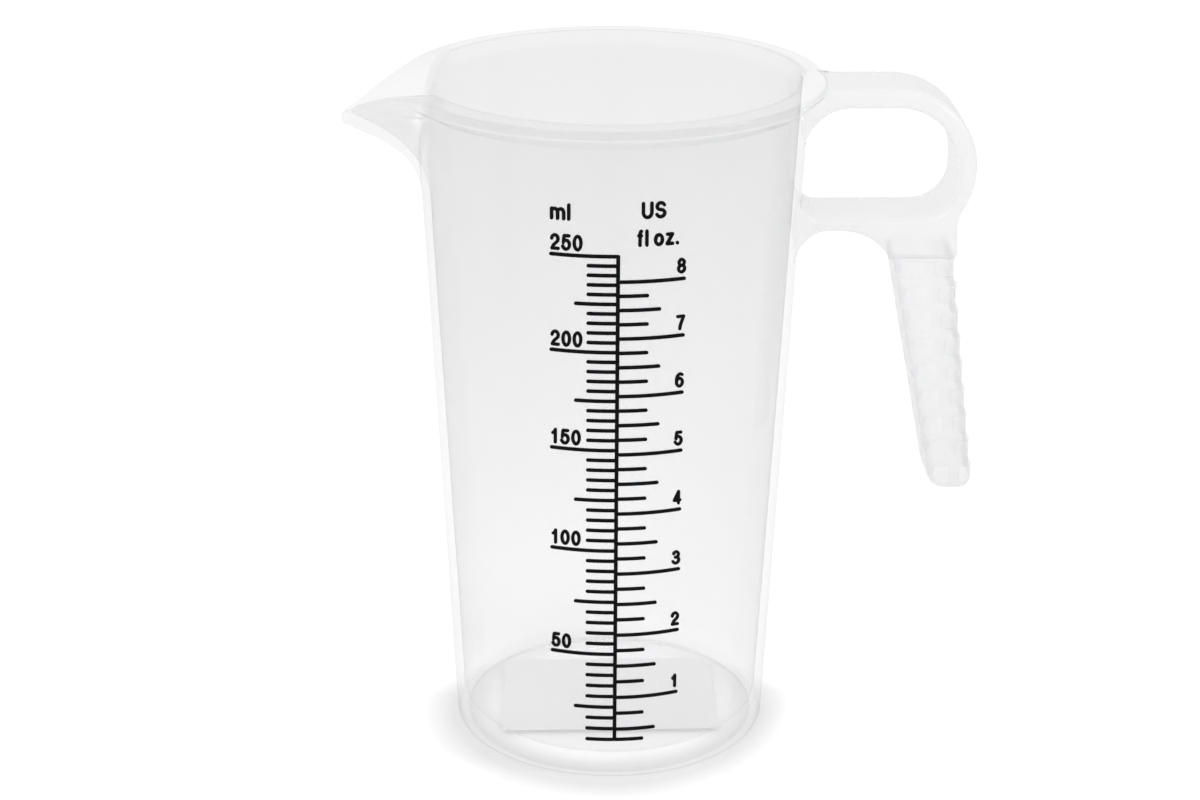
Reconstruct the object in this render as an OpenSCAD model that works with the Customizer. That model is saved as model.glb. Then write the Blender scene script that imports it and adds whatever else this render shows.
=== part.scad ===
// Translucent 250 ml graduated mixing cup with a pouring lip and an open grip handle.
// Origin: centre of the foot on the table. +Z is up, the spout points to -X,
// the handle to +X and the scale faces -Y. Millimetres.

/* [Cup] */
// Height of the rim above the table
cup_h = 119.7; // [100:0.1:150]
// Outer radius of the foot
foot_r = 28; // [24:0.1:34]
// How far the wall leans out, in degrees
draft = 2.69; // [1.5:0.01:4]
// Thickness of the side wall
wall_t = 1.4; // [1:0.1:2.2]
// Thickness of the floor
floor_t = 2.2; // [1.6:0.1:3.2]
// Height of the hollow under the floor
foot_recess = 1; // [0.6:0.1:2]
// Width of the ring that the cup stands on
foot_w = 2.2; // [1.6:0.1:3.4]
// Radius of the outer edge of the foot
foot_edge_r = 0.7; // [0.3:0.1:1]
// Radius of the inside corner between floor and wall
corner_r = 3; // [1.5:0.1:5]

/* [Rim] */
// How far the rim stands out from the wall
rim_out = 2.7; // [1.6:0.1:4]
// Height of the upright outer face of the rim
rim_face = 1.8; // [1.2:0.1:3]
// Height of the slope under the rim's outer face
rim_slope = 2; // [1:0.1:4]

/* [Spout] */
// Half of the angle that the mouth of the spout takes on the rim
mouth_half = 30; // [22:0.5:38]
// How far the tip stands out from the rim
spout_reach = 9.7; // [6:0.1:14]
// How far the tip lies below the rim
spout_drop = 6.3; // [3:0.1:9]
// Height from the rim down to where the spout leaves the wall
spout_depth = 21.7; // [16:0.1:30]
// Thickness of the lip at the tip
lip_t = 1.3; // [1:0.1:2]
// Radius of the tip, seen from above
nose_r = 1.6; // [1:0.1:2.4]
// How far the rounded tip stands out from the straight flanks
nose_out = 0.8; // [0.2:0.1:1.6]
// Slope of the underside at the tip, in degrees above level
lip_slope = 24; // [10:1:40]
// Pull of the underside's curve at its two ends
lip_pull = 8; // [5:0.5:11]

/* [Handle] */
// Width of the handle
handle_w = 15; // [11:0.1:19]
// Height from the rim down to the top of the handle
strap_drop = 1.2; // [0.5:0.1:3]
// Thickness of the strap on top
strap_t = 3.3; // [2.4:0.1:5]
// Distance from the rim to the outer face of the bow
handle_reach = 25.7; // [23:0.1:34]
// Outer radius of the bow
bow_r = 14; // [10:0.1:16]
// Thickness of the bow
bow_t = 3.2; // [2.4:0.1:5]
// Height of the finger opening
loop_h = 19.3; // [17:0.1:26]
// Radius of the opening's lower outer corner
loop_low_r = 6.5; // [3:0.1:8]
// Radius between the strap and the wall
strap_root_r = 7; // [3:0.1:9]
// Radius between the crossbar and the wall, on top
bar_root_r = 3.5; // [2:0.1:6]
// Thinnest part of the crossbar
bar_t = 2.3; // [1.8:0.1:4]
// Radius between the crossbar and the wall, underneath
arch_root_r = 5; // [3:0.1:7]
// Radius of the arch on its grip side
arch_r = 10.1; // [9:0.1:11]
// Width of the flare where the strap meets the wall, on each side
strap_flare = 4.6; // [2:0.1:7]
// How far the flare reaches out from the rim
flare_out = 1.8; // [0.6:0.1:4]

/* [Grip] */
// Height of the solid block between the opening and the grip
block_h = 7.1; // [6:0.1:9]
// Depth of the hollow on the block's outer side, in from the bow
block_in = 2.8; // [1:0.1:4]
// Length of the grip below the block
grip_len = 43.3; // [34:0.1:52]
// Depth of the grip at its top, from the inner to the outer side
grip_top = 10.3; // [9:0.1:11]
// Depth of the grip at its end
grip_end = 7.3; // [6.5:0.1:9]
// Lean of the grip's outer side, in degrees
grip_lean = 7.3; // [3:0.1:12]
// Step from the block's sides in to the grip's sides
grip_step = 0.6; // [0.4:0.1:1.2]
// Radius of the grip's inner bottom corner
grip_in_r = 3; // [1.5:0.1:3.4]
// Radius of the grip's outer bottom corner
grip_out_r = 2; // [1:0.1:3]
// Number of ribs on each side of the grip
rib_n = 9; // [5:1:11]
// Distance from one rib to the next
rib_pitch = 4.82; // [3.6:0.01:5.2]
// Gap between the block and the first rib
rib_start = 0.1; // [0.1:0.1:1]
// Height of an outer rib
rib_h = 3; // [1.6:0.1:3.2]
// Height of an inner pad
pad_h = 3.4; // [1.6:0.1:3.5]
// How far the ribs and pads stand out
rib_out = 0.45; // [0.3:0.05:0.6]
// Width of the smooth strip between the ribs and the pads
strip_w = 1.9; // [1.2:0.1:3]
// Share of the rest of the side that the outer ribs take
rib_share = 0.43; // [0.35:0.01:0.5]

/* [Scale] */
// Smallest volume on the millilitre scale
ml_min = 10; // [10:5:20]
// Step of the millilitre scale
ml_step = 5; // [5:5:10]
// Step of its long marks, which have a figure
ml_long_step = 50; // [50:50:100]
// Step of its medium marks
ml_medium_step = 25; // [25:25:50]
// Smallest volume on the fluid ounce scale
oz_min = 0.5; // [0.5:0.25:1]
// Least height between the lettering and the rim's underside
scale_gap = 5; // [3:0.5:8]
// Thickness of a mark
mark_t = 0.56; // [0.4:0.01:0.8]
// How far marks and figures stand out from the wall
ink_out = 0.2; // [0.1:0.05:0.4]
// Width of the upright line, in degrees round the cup
spine_deg = 1.16; // [0.8:0.01:1.6]
// Length of a short mark
mark_short = 5.1; // [3:0.1:6]
// Length of a medium mark
mark_medium = 7.15; // [5:0.1:8]
// Length of a long mark
mark_long = 11.3; // [9:0.1:14]
// Height of the millilitre figures
ml_fig_h = 3; // [2.2:0.1:3.4]
// Height of the fluid ounce figures
oz_fig_h = 2.7; // [2:0.1:3.2]
// Height of the unit lettering
unit_h = 2.95; // [2.2:0.1:3.4]
// Stroke of the figures as a share of their height
fig_weight = 0.185; // [0.12:0.005:0.24]
// Gap between a millilitre figure and its mark
ml_fig_gap = 0.25; // [0.1:0.05:0.6]
// Gap between an ounce figure and its mark
oz_fig_gap = 0.6; // [0.2:0.05:0.8]
// Gap between a line of lettering and the line below it
unit_gap = 2.1; // [1:0.1:3]
// Distance from the upright line to the start of the lettering US
us_start = 3.7; // [2:0.1:5]
// Distance from the upright line to the start of the lettering fl oz.
oz_start = 3; // [2:0.1:5]

/* [Base label] */
// Length of the plain label under the floor
label_l = 39.4; // [28:0.1:42]
// Depth of the label
label_w = 28; // [20:0.1:32]
// How far the middle of the label lies behind the cup's
label_back = 2; // [0:0.1:4]
// Least gap between the label and the foot ring
label_gap = 0.2; // [0.1:0.1:1]
// Thickness of the label
label_t = 0.15; // [0.1:0.01:0.3]
// Corner radius of the label
label_r = 1; // [0.5:0.1:3]

/* [Hidden] */
$fn = 144;

plastic = [0.93, 0.94, 0.95];
ink = [0.06, 0.06, 0.07];
paper = [0.97, 0.97, 0.96];

// Heights and radii that the sizes above give
lean = tan(draft);
floor_top = foot_recess + floor_t;
rim_foot = cup_h - rim_face - rim_slope;
rim_r = outer_r(cup_h) + rim_out;
floor_r = inner_r(floor_top) - corner_r;
spout_foot = cup_h - spout_depth;
strap_top = cup_h - strap_drop;
loop_top = strap_top - strap_t;
bar_top = loop_top - loop_h;
bow_out_x = rim_r + handle_reach;
bow_x = bow_out_x - bow_r;
bow_z = strap_top - bow_r;
loop_x = bow_out_x - bow_t;
low_x = loop_x - loop_low_r;
block_x = bow_out_x - block_in;
block_foot = bar_top - block_h;
arch_top = bar_top - bar_t;
grip_out_x = block_x - grip_step;
grip_in_x = grip_out_x - grip_top;
block_in_x = grip_in_x - grip_step;
arch_fall = arch_top - block_foot;
arch_x = block_in_x - sqrt(arch_r ^ 2 - (arch_r - arch_fall) ^ 2);
grip_foot = block_foot - grip_len;
grip_w = handle_w - 2 * grip_step;
ml_per_oz = 29.5735;

// Outer and inner radius of the wall at a height
function outer_r(z) = foot_r + lean * z;
function inner_r(z) = outer_r(z) - wall_t;

// Points of an arc, from angle a to angle b
function arc(x, y, rx, ry, a, b, n) =
    [for (i = [0:n]) [x + rx * cos(a + (b - a) * i / n), y + ry * sin(a + (b - a) * i / n)]];

// Point on a cubic curve with two ends and two control points
function bezier(p, q, r, s, t) =
    (1 - t) ^ 3 * p + 3 * t * (1 - t) ^ 2 * q + 3 * t ^ 2 * (1 - t) * r + t ^ 3 * s;

// Height of the liquid for a volume in millilitres: a cone less its rounded corner.
// A square of the fillet's radius, less its quarter circle, has this share of the square's
// area, and its middle lies this share of the radius from the wall.
fillet_area = 1 - PI / 4;
fillet_middle = 0.2234;
corner_loss =
    2 * PI * (inner_r(floor_top) - fillet_middle * corner_r) * fillet_area * corner_r ^ 2;
mm3_per_ml = 1000;
function fill_r(ml) =
    (inner_r(floor_top) ^ 3 + 3 * lean * (ml * mm3_per_ml + corner_loss) / PI) ^ (1 / 3);
function fill_z(ml) = floor_top + (fill_r(ml) - inner_r(floor_top)) / lean;
// Volume below a height
function volume(z) =
    (PI * (inner_r(z) ^ 3 - inner_r(floor_top) ^ 3) / (3 * lean) - corner_loss) / mm3_per_ml;

// Heights of a figure and of a line of lettering with the gap below each, and the largest
// volumes that leave room for them under the rim
ml_fig_room = mark_t / 2 + ml_fig_gap + ml_fig_h;
oz_fig_room = mark_t / 2 + oz_fig_gap + oz_fig_h;
unit_room = unit_gap + unit_h;
scale_top = rim_foot - scale_gap;
ml_max = ml_long_step * floor(volume(scale_top - unit_room - ml_fig_room) / ml_long_step);
oz_max = floor(volume(scale_top - 2 * unit_room - oz_fig_room) / ml_per_oz);

// Wall and foot ring, turned about the axis, with the mouth of the spout cut away
module cup_wall() {
    color(plastic) difference() {
        rotate_extrude() polygon(concat(
            arc(foot_r - foot_edge_r, foot_edge_r, foot_edge_r, foot_edge_r, -90, 0, 6),
            [[outer_r(rim_foot), rim_foot], [inner_r(rim_foot), rim_foot]],
            arc(floor_r, floor_top + corner_r, corner_r, corner_r, 0, -90, 10),
            [[floor_r, foot_recess], [foot_r - foot_w, foot_recess], [foot_r - foot_w, 0]]));
        mouth_wedge();
    }
}

module cup_floor() {
    color(plastic) translate([0, 0, foot_recess]) cylinder(h = floor_t, r = floor_r);
}

// Section of the rim, from its inner edge out
function rim_section() = [
    [inner_r(rim_foot), rim_foot], [outer_r(rim_foot), rim_foot], [rim_r, cup_h - rim_face],
    [rim_r, cup_h], [inner_r(cup_h), cup_h]];

module rim_flange() {
    color(plastic) rotate([0, 0, mouth_half - 180])
        rotate_extrude(angle = 360 - 2 * mouth_half) polygon(rim_section());
}

// Everything inside the mouth's two upright end planes and above the spout's foot
module mouth_wedge() {
    far = 2 * rim_r;
    translate([0, 0, spout_foot]) linear_extrude(cup_h)
        polygon([[0, 0], [-far * cos(mouth_half), -far * sin(mouth_half)], [-far, 0],
            [-far * cos(mouth_half), far * sin(mouth_half)]]);
}

// Upright section at the end of the mouth: plain wall with the rim on top
steps = 9;
function mouth_section() = concat(
    [for (i = [0:steps]) let (z = spout_foot + (rim_foot - spout_foot) * i / steps)
        [outer_r(z), z]],
    [[rim_r, cup_h - rim_face], [rim_r, cup_h], [inner_r(cup_h), cup_h]],
    [for (i = [steps:-1:0]) let (z = spout_foot + (rim_foot - spout_foot) * i / steps)
        [inner_r(z), z]]);

// Upright section through the tip, point for point with the one above
function tip_section() = let (
    x = rim_r + spout_reach,
    z = cup_h - rim_face - spout_drop,
    level = [cos(lip_slope), sin(lip_slope)],
    up = [sin(draft), cos(draft)],
    p = [outer_r(spout_foot), spout_foot],
    s = [x, z],
    q = p + lip_pull * up,
    r = s - lip_pull * level,
    t = [-level[1], level[0]] * lip_t,
    pi = [inner_r(spout_foot), spout_foot],
    si = [x - lip_t, z + rim_face],
    qi = q + [-wall_t, wall_t / 2],
    ri = r + t + [-wall_t / 3, wall_t / 4])
    concat(
        [for (i = [0:steps]) bezier(p, q, r, s, i / (steps + 1))],
        [s, [x, z + rim_face], si],
        [for (i = [steps:-1:0]) bezier(pi, qi, ri, si, i / (steps + 1))]);

// Plan of the lip from the end of the mouth round the tip, as [x, y] towards +X
mouth_x = rim_r * cos(mouth_half);
mouth_y = rim_r * sin(mouth_half);
flank_x = rim_r + spout_reach - nose_out;
bend = (flank_x - mouth_x - tan(mouth_half) * mouth_y) / mouth_y ^ 2;
function flank(y) = mouth_x + tan(mouth_half) * (mouth_y - y) + bend * (mouth_y - y) ^ 2;
nose_x = rim_r + spout_reach - nose_r;
// Half of the angle that the rounded tip turns, and where the flank ends beside it
nose_turn = 70;
nose_y = 1.15 * nose_r;
flank_n = 11;
nose_n = 4;
half_plan = concat(
    [for (i = [0:flank_n]) let (y = mouth_y + (nose_y - mouth_y) * i / flank_n)
        [flank(y), y]],
    [for (i = [1:nose_n]) let (a = nose_turn * (1 - i / nose_n))
        [nose_x + nose_r * cos(a), nose_r * sin(a)]]);
plan = concat(half_plan, [for (i = [len(half_plan) - 2:-1:0]) [half_plan[i][0], -half_plan[i][1]]]);

// How much of the tip a section has: as far as the lip stands out up there, and a round
// swell that is as wide as the mouth down on the wall
function lip_share(p) = (norm(p) - rim_r) / spout_reach;
function swell_share(p) = (1 - (p[1] / mouth_y) ^ 2) ^ 2;
function share(p, up) = swell_share(p) + (lip_share(p) - swell_share(p)) * up;

// The spout: each section lies between the mouth's and the tip's
module pour_spout() {
    mouth = mouth_section();
    tip = tip_section();
    m = len(mouth);
    n = len(plan);
    points = [for (p = plan) let (a = atan2(p[1], p[0])) for (j = [0:m - 1]) let (
        up = min(1, min(j, m - 1 - j) / steps) ^ 2,
        s = mouth[j] + (tip[j] - mouth[j]) * share(p, up)) [s[0] * cos(a), s[0] * sin(a), s[1]]];
    sides = [for (i = [0:n - 2], j = [0:m - 1]) let (k = (j + 1) % m)
        each [[i * m + j, (i + 1) * m + j, (i + 1) * m + k], [i * m + j, (i + 1) * m + k, i * m + k]]];
    caps = [[for (j = [0:m - 1]) j], [for (j = [m - 1:-1:0]) (n - 1) * m + j]];
    color(plastic) rotate([0, 0, 180]) polyhedron(points = points, faces = concat(sides, caps));
}

// Outside of wall and rim as one solid, for what meets them
module cup_outside() {
    rotate_extrude() polygon([[0, 0], [foot_r, 0], [outer_r(rim_foot), rim_foot],
        [rim_r, cup_h - rim_face], [rim_r, cup_h], [0, cup_h]]);
}

// A side outline (X to the right, Z up) given the handle's width
module side_plate(outline, width = handle_w) {
    rotate([90, 0, 0]) translate([0, 0, -width / 2]) linear_extrude(width) polygon(outline);
}

// Strap from the wall to the bow, with a fillet underneath and a flare in plan
module handle_strap() {
    wall_x = outer_r(loop_top - strap_root_r);
    half = handle_w / 2;
    flare_x = rim_r + flare_out;
    flare_y = half + strap_flare;
    flare_run = flare_x - sqrt(outer_r(loop_top) ^ 2 - flare_y ^ 2);
    color(plastic) difference() {
        intersection() {
            side_plate(concat(
                [[0, strap_top], [0, loop_top - strap_root_r]],
                arc(wall_x + strap_root_r, loop_top - strap_root_r, strap_root_r, strap_root_r,
                    180, 90, 10),
                [[bow_x, loop_top], [bow_x, strap_top]]), 2 * flare_y);
            linear_extrude(cup_h) polygon(concat(
                [[0, flare_y]],
                arc(flare_x, flare_y, flare_run, strap_flare, 180, 270, 8),
                [[bow_x, half], [bow_x, -half]],
                arc(flare_x, -flare_y, flare_run, strap_flare, 90, 180, 8),
                [[0, -flare_y]]));
        }
        cup_outside();
    }
}

// Outer end of the loop, from the strap down to the crossbar's top
module handle_bow() {
    foot_a = -acos((block_x - bow_x) / bow_r);
    color(plastic) side_plate(concat(
        arc(bow_x, bow_z, bow_r, bow_r, 90, foot_a, 20),
        [[block_x, bar_top]],
        arc(low_x, bar_top + loop_low_r, loop_low_r, loop_low_r, -90, 0, 8),
        arc(bow_x, bow_z, loop_x - bow_x, loop_top - bow_z, 0, 90, 12)));
}

// Bar between the finger opening and the arch, filleted to the wall on both sides
module handle_crossbar() {
    top_x = outer_r(bar_top + bar_root_r);
    low_x = outer_r(arch_top - arch_root_r);
    arch_a = 90 - acos((arch_r - arch_fall) / arch_r);
    color(plastic) difference() {
        side_plate(concat(
            [[0, bar_top + bar_root_r]],
            arc(top_x + bar_root_r, bar_top + bar_root_r, bar_root_r, bar_root_r, 180, 270, 8),
            [[block_in_x, bar_top]],
            arc(arch_x, arch_top - arch_r, arch_r, arch_r, arch_a, 90, 10),
            arc(low_x + arch_root_r, arch_top - arch_root_r, arch_root_r, arch_root_r, 90, 180, 10),
            [[0, arch_top - arch_root_r]]));
        cup_outside();
    }
}

module grip_block() {
    color(plastic) side_plate([[block_in_x, bar_top], [block_x, bar_top], [block_x, block_foot],
        [block_in_x, block_foot]]);
}

// Outer and inner side of the grip at a height, and its depth between them
function grip_out(z) = grip_out_x + (block_foot - z) * tan(grip_lean);
function grip_depth(z) = grip_top + (grip_end - grip_top) * (block_foot - z) / grip_len;
function grip_in(z) = grip_out(z) - grip_depth(z);

module grip_solid() {
    out_z = grip_foot + grip_out_r;
    in_z = grip_foot + grip_in_r;
    side_plate(concat(
        [[grip_in_x, block_foot], [grip_out_x, block_foot]],
        arc(grip_out(out_z) - grip_out_r, out_z, grip_out_r, grip_out_r, 0, -90, 6),
        arc(grip_in(in_z) + grip_in_r, in_z, grip_in_r, grip_in_r, -90, -180, 8)), grip_w);
}

module grip_leg() {
    color(plastic) grip_solid();
}

// Ribs round the outer side of the grip, each hooked onto its two sides
module outer_grip_ribs() {
    color(plastic) difference() {
        for (i = [0:rib_n - 1]) let (top = block_foot - rib_start - i * rib_pitch, foot = top - rib_h)
            side_plate([for (c = [[foot, 0], [foot, 1], [top, 1], [top, 0]])
                [grip_out(c[0]) + (c[1] == 1 ? rib_out : -rib_share * (grip_depth(c[0]) - strip_w)),
                    c[0]]], grip_w + 2 * rib_out);
        grip_solid();
    }
}

// Flat pads round the inner side of the grip
module inner_grip_pads() {
    color(plastic) difference() {
        for (i = [0:rib_n - 1]) let (top = block_foot - rib_start - i * rib_pitch, foot = top - pad_h)
            side_plate([for (c = [[foot, 0], [foot, 1], [top, 1], [top, 0]])
                [grip_in(c[0]) + (c[1] == 1 ? (1 - rib_share) * (grip_depth(c[0]) - strip_w)
                    : -rib_out), c[0]]], grip_w + 2 * rib_out);
        grip_solid();
    }
}

// Raised band on the wall: from angle a to angle b, between two heights
module wall_band(a, b, low, high) {
    rotate([0, 0, a - 90]) rotate_extrude(angle = b - a) polygon([
        [outer_r(low), low], [outer_r(low) + ink_out, low],
        [outer_r(high) + ink_out, high], [outer_r(high), high]]);
}

module scale_spine() {
    color(ink) wall_band(-spine_deg / 2, spine_deg / 2,
        fill_z(ml_min) - mark_t / 2, fill_z(ml_max) + mark_t / 2);
}

// One mark, on the left (side -1) or on the right (side 1) of the upright line
module mark(z, length, side) {
    reach = length / outer_r(z) * 180 / PI;
    edges = side < 0 ? [-reach, -spine_deg / 2] : [spine_deg / 2, reach];
    wall_band(edges[0], edges[1], z - mark_t / 2, z + mark_t / 2);
}

// Long, medium or short mark: by whether the count goes into the two larger steps
function mark_length(count, large, middle) =
    count % large == 0 ? mark_long : count % middle == 0 ? mark_medium : mark_short;

module ml_marks() {
    color(ink) for (ml = [ml_min:ml_step:ml_max])
        mark(fill_z(ml), mark_length(ml, ml_long_step, ml_medium_step), -1);
}

module fl_oz_marks() {
    color(ink) {
        for (quarter = [oz_min * 4:oz_max * 4])
            mark(fill_z(quarter / 4 * ml_per_oz), mark_length(quarter, 4, 2), 1);
        mark(fill_z(ml_min), mark_short, 1);
    }
}

// Lettering. A character is a list of [closed, points] lines in a unit square, drawn with
// a round pen that stays inside the square; its width is a share of its height.
function loop(x, y, rx, ry, n = 16) = [true, [for (i = [1:n]) arc(x, y, rx, ry, 0, 360, n)[i]]];
function line(points) = [false, points];
function figure(c) =
    c == "0" ? [loop(0.5, 0.5, 0.5, 0.5)] :
    c == "1" ? [line([[0.12, 0.74], [0.42, 0.82], [0.58, 1]]), line([[0.58, 1], [0.58, 0]])] :
    c == "2" ? [line(concat(arc(0.5, 0.7, 0.48, 0.3, 180, -30, 8), [[0.04, 0]])),
                line([[0.04, 0], [1, 0]])] :
    c == "3" ? [line(arc(0.48, 0.76, 0.44, 0.24, 165, -90, 8)),
                line(arc(0.48, 0.27, 0.52, 0.27, 90, -165, 9))] :
    c == "4" ? [line([[0.74, 0], [0.74, 1]]), line([[0.74, 1], [0, 0.27]]),
                line([[0, 0.27], [1, 0.27]])] :
    c == "5" ? [line([[0.92, 1], [0.16, 1]]), line([[0.16, 1], [0.08, 0.5]]),
                line(concat([[0.08, 0.5]], arc(0.48, 0.33, 0.52, 0.33, 130, -160, 9)))] :
    c == "6" ? [loop(0.5, 0.32, 0.5, 0.32, 14), line(arc(0.62, 0.42, 0.62, 0.58, 65, 190, 8))] :
    c == "7" ? [line([[0.02, 1], [1, 1]]), line([[1, 1], [0.62, 0.52], [0.4, 0]])] :
    c == "8" ? [loop(0.5, 0.76, 0.42, 0.24, 12), loop(0.5, 0.27, 0.5, 0.27, 14)] :
    c == "9" ? [loop(0.5, 0.68, 0.5, 0.32, 14), line(arc(0.38, 0.58, 0.62, 0.58, 10, -115, 8))] :
    c == "m" ? [line([[0, 0], [0, 0.68]]),
                line(concat([[0, 0.5]], arc(0.25, 0.45, 0.25, 0.23, 130, 0, 4), [[0.5, 0]])),
                line(concat([[0.5, 0.5]], arc(0.75, 0.45, 0.25, 0.23, 130, 0, 4), [[1, 0]]))] :
    c == "l" ? [line([[0.5, 0], [0.5, 1]])] :
    c == "U" ? [line(concat([[0, 1]], arc(0.5, 0.36, 0.5, 0.36, 180, 360, 8), [[1, 1]]))] :
    c == "S" ? [line(concat(arc(0.5, 0.75, 0.46, 0.25, 15, 230, 7),
                arc(0.5, 0.26, 0.5, 0.26, 50, -165, 7)))] :
    c == "f" ? [line(concat([[0.38, 0]], arc(0.86, 0.76, 0.48, 0.24, 180, 90, 4))),
                line([[0, 0.66], [0.86, 0.66]])] :
    c == "o" ? [loop(0.5, 0.33, 0.5, 0.34, 14)] :
    c == "z" ? [line([[0.04, 0.67], [0.96, 0.67]]), line([[0.96, 0.67], [0, 0]]),
                line([[0, 0], [1, 0]])] :
    [line([[0.5, 0], [0.5, 0.02]])];
function figure_w(c) = c == "m" ? 0.84 : c == "l" || c == "." ? 0.2 : c == "U" || c == "S" ? 0.66 :
    c == "f" ? 0.38 : c == "z" ? 0.52 : c == " " ? 0.12 : 0.57;
letter_gap = 0.07;
function text_w(s, n) = n == 0 ? 0 : text_w(s, n - 1) + figure_w(s[n - 1]) + letter_gap;

// Side of a line: each point moved by the pen's half width, square to the line's way there
function unit(v) = v / norm(v);
function side_of(p, closed, half) = let (n = len(p)) [for (i = [0:n - 1]) let (
    before = closed ? p[(i + n - 1) % n] : p[max(i - 1, 0)],
    after = closed ? p[(i + 1) % n] : p[min(i + 1, n - 1)],
    d0 = before == p[i] ? unit(after - p[i]) : unit(p[i] - before),
    d1 = after == p[i] ? d0 : unit(after - p[i]),
    m = unit([-d0[1] - d1[1], d0[0] + d1[0]]),
    reach = half / max(0.5, m * [-d1[1], d1[0]])) p[i] + reach * m];
function cap(centre, from, half) = let (a = atan2(from[1] - centre[1], from[0] - centre[0]))
    [for (i = [1:5]) centre + half * [cos(a - 30 * i), sin(a - 30 * i)]];

module pen_line(p, closed, half) {
    n = len(p);
    left = side_of(p, closed, half);
    right = side_of(p, closed, -half);
    if (closed)
        polygon(concat(left, right), [[for (i = [0:n - 1]) i], [for (i = [0:n - 1]) n + i]]);
    else
        polygon(concat(left, cap(p[n - 1], left[n - 1], half),
            [for (i = [n - 1:-1:0]) right[i]], cap(p[0], right[0], half)));
}

// A line of lettering that starts at a distance along the wall from the upright line
module lettering(s, start, z, height) {
    pen = fig_weight * height;
    for (i = [0:len(s) - 1]) if (s[i] != " ") {
        w = figure_w(s[i]) * height;
        centre = start + text_w(s, i) * height + w / 2;
        rotate([0, 0, centre / outer_r(z) * 180 / PI]) translate([0, -outer_r(z), z])
            rotate([90 + draft, 0, 0]) linear_extrude(ink_out) for (part = figure(s[i]))
                pen_line([for (p = part[1])
                    [(p[0] - 0.5) * (w - pen), pen / 2 + p[1] * (height - pen)]], part[0], pen / 2);
    }
}

module ml_numerals() {
    color(ink) for (ml = [ml_long_step:ml_long_step:ml_max])
        lettering(str(ml), -mark_long + fig_weight, fill_z(ml) + ml_fig_room - ml_fig_h, ml_fig_h);
}

module fl_oz_numerals() {
    color(ink) for (oz = [1:oz_max]) let (s = str(oz))
        lettering(s, mark_long - (text_w(s, len(s)) - letter_gap) * oz_fig_h,
            fill_z(oz * ml_per_oz) + oz_fig_room - oz_fig_h, oz_fig_h);
}

module ml_unit() {
    color(ink) lettering("ml", -mark_long + fig_weight, fill_z(ml_max) + ml_fig_room + unit_gap,
        unit_h);
}

module fl_oz_unit() {
    foot = fill_z(oz_max * ml_per_oz) + oz_fig_room + unit_gap;
    color(ink) {
        lettering("fl oz.", oz_start, foot, unit_h);
        lettering("US", us_start, foot + unit_room, unit_h);
    }
}

// Plain label in the hollow under the floor, trimmed where the foot ring is in its way
module base_label() {
    x = label_l / 2 - label_r;
    y = label_w / 2 - label_r;
    color(paper) translate([0, 0, foot_recess - label_t]) intersection() {
        translate([0, label_back, 0]) linear_extrude(label_t) polygon(concat(
            arc(x, y, label_r, label_r, 0, 90, 6), arc(-x, y, label_r, label_r, 90, 180, 6),
            arc(-x, -y, label_r, label_r, 180, 270, 6),
            arc(x, -y, label_r, label_r, 270, 360, 6)));
        cylinder(h = label_t, r = foot_r - foot_w - label_gap);
    }
}

cup_wall();
cup_floor();
rim_flange();
pour_spout();
handle_strap();
handle_bow();
handle_crossbar();
grip_block();
grip_leg();
outer_grip_ribs();
inner_grip_pads();
scale_spine();
ml_marks();
fl_oz_marks();
ml_numerals();
fl_oz_numerals();
ml_unit();
fl_oz_unit();
base_label();
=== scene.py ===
"""Looks of a translucent graduated mixing cup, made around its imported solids.

The cup stands at the origin. The spout points to -X, the handle to +X and the scale faces -Y.
Shapes are worked out in millimetres and become metres when a mesh is made.
"""

import logging
import math
from collections.abc import Callable, Sequence
from dataclasses import dataclass, field
from enum import Enum

import bmesh
import bpy
from mathutils import Matrix, Vector
from mathutils.geometry import delaunay_2d_cdt


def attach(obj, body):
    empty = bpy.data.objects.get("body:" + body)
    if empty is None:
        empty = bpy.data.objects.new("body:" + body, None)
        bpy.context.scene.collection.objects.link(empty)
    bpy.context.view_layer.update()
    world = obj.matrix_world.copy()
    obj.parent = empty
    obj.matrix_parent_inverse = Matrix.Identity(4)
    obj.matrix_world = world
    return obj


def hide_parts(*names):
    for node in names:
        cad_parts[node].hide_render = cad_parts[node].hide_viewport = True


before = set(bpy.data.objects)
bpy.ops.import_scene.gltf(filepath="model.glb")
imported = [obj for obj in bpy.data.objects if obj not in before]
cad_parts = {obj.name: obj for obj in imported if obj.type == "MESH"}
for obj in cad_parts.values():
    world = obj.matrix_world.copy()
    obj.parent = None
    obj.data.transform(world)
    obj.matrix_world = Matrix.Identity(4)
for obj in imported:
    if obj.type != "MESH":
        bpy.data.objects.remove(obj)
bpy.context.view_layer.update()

MM = 0.001
ML_PER_OZ = 29.5735
MM3_PER_ML = 1000.0

# Stretches of a plate's rounded edge, and across what is left of its width
EDGE_STEPS = 7
ACROSS_STEPS = 8
# Half of a corner's angle from which it isn't rounded, and the share of a stretch that a rounding may use
ALMOST_STRAIGHT = math.radians(89.5)
MOST_OF_STRETCH = 0.49
# Keeps a sharp corner from moving too far in an inset
LEAST_COSINE = 0.5
# Distance below which two points are one
SAME_PLACE = 1e-6
# Setting of delaunay_2d_cdt that keeps only what lies inside the outlines
FILL_INSIDE = 1
# Turn of an edge, in radians, from which it is softened
BEVEL_FROM = 1.2

Point2 = tuple[float, float]
Point3 = tuple[float, float, float]
Colour = tuple[float, float, float]

logging.basicConfig(level=logging.INFO, format="%(message)s")
log = logging.getLogger("cup")


class Slot(Enum):
    """Material slots of the record."""

    PLASTIC = "plastic"
    INK = "ink"
    LABEL = "label"


# Curves and outlines


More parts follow.
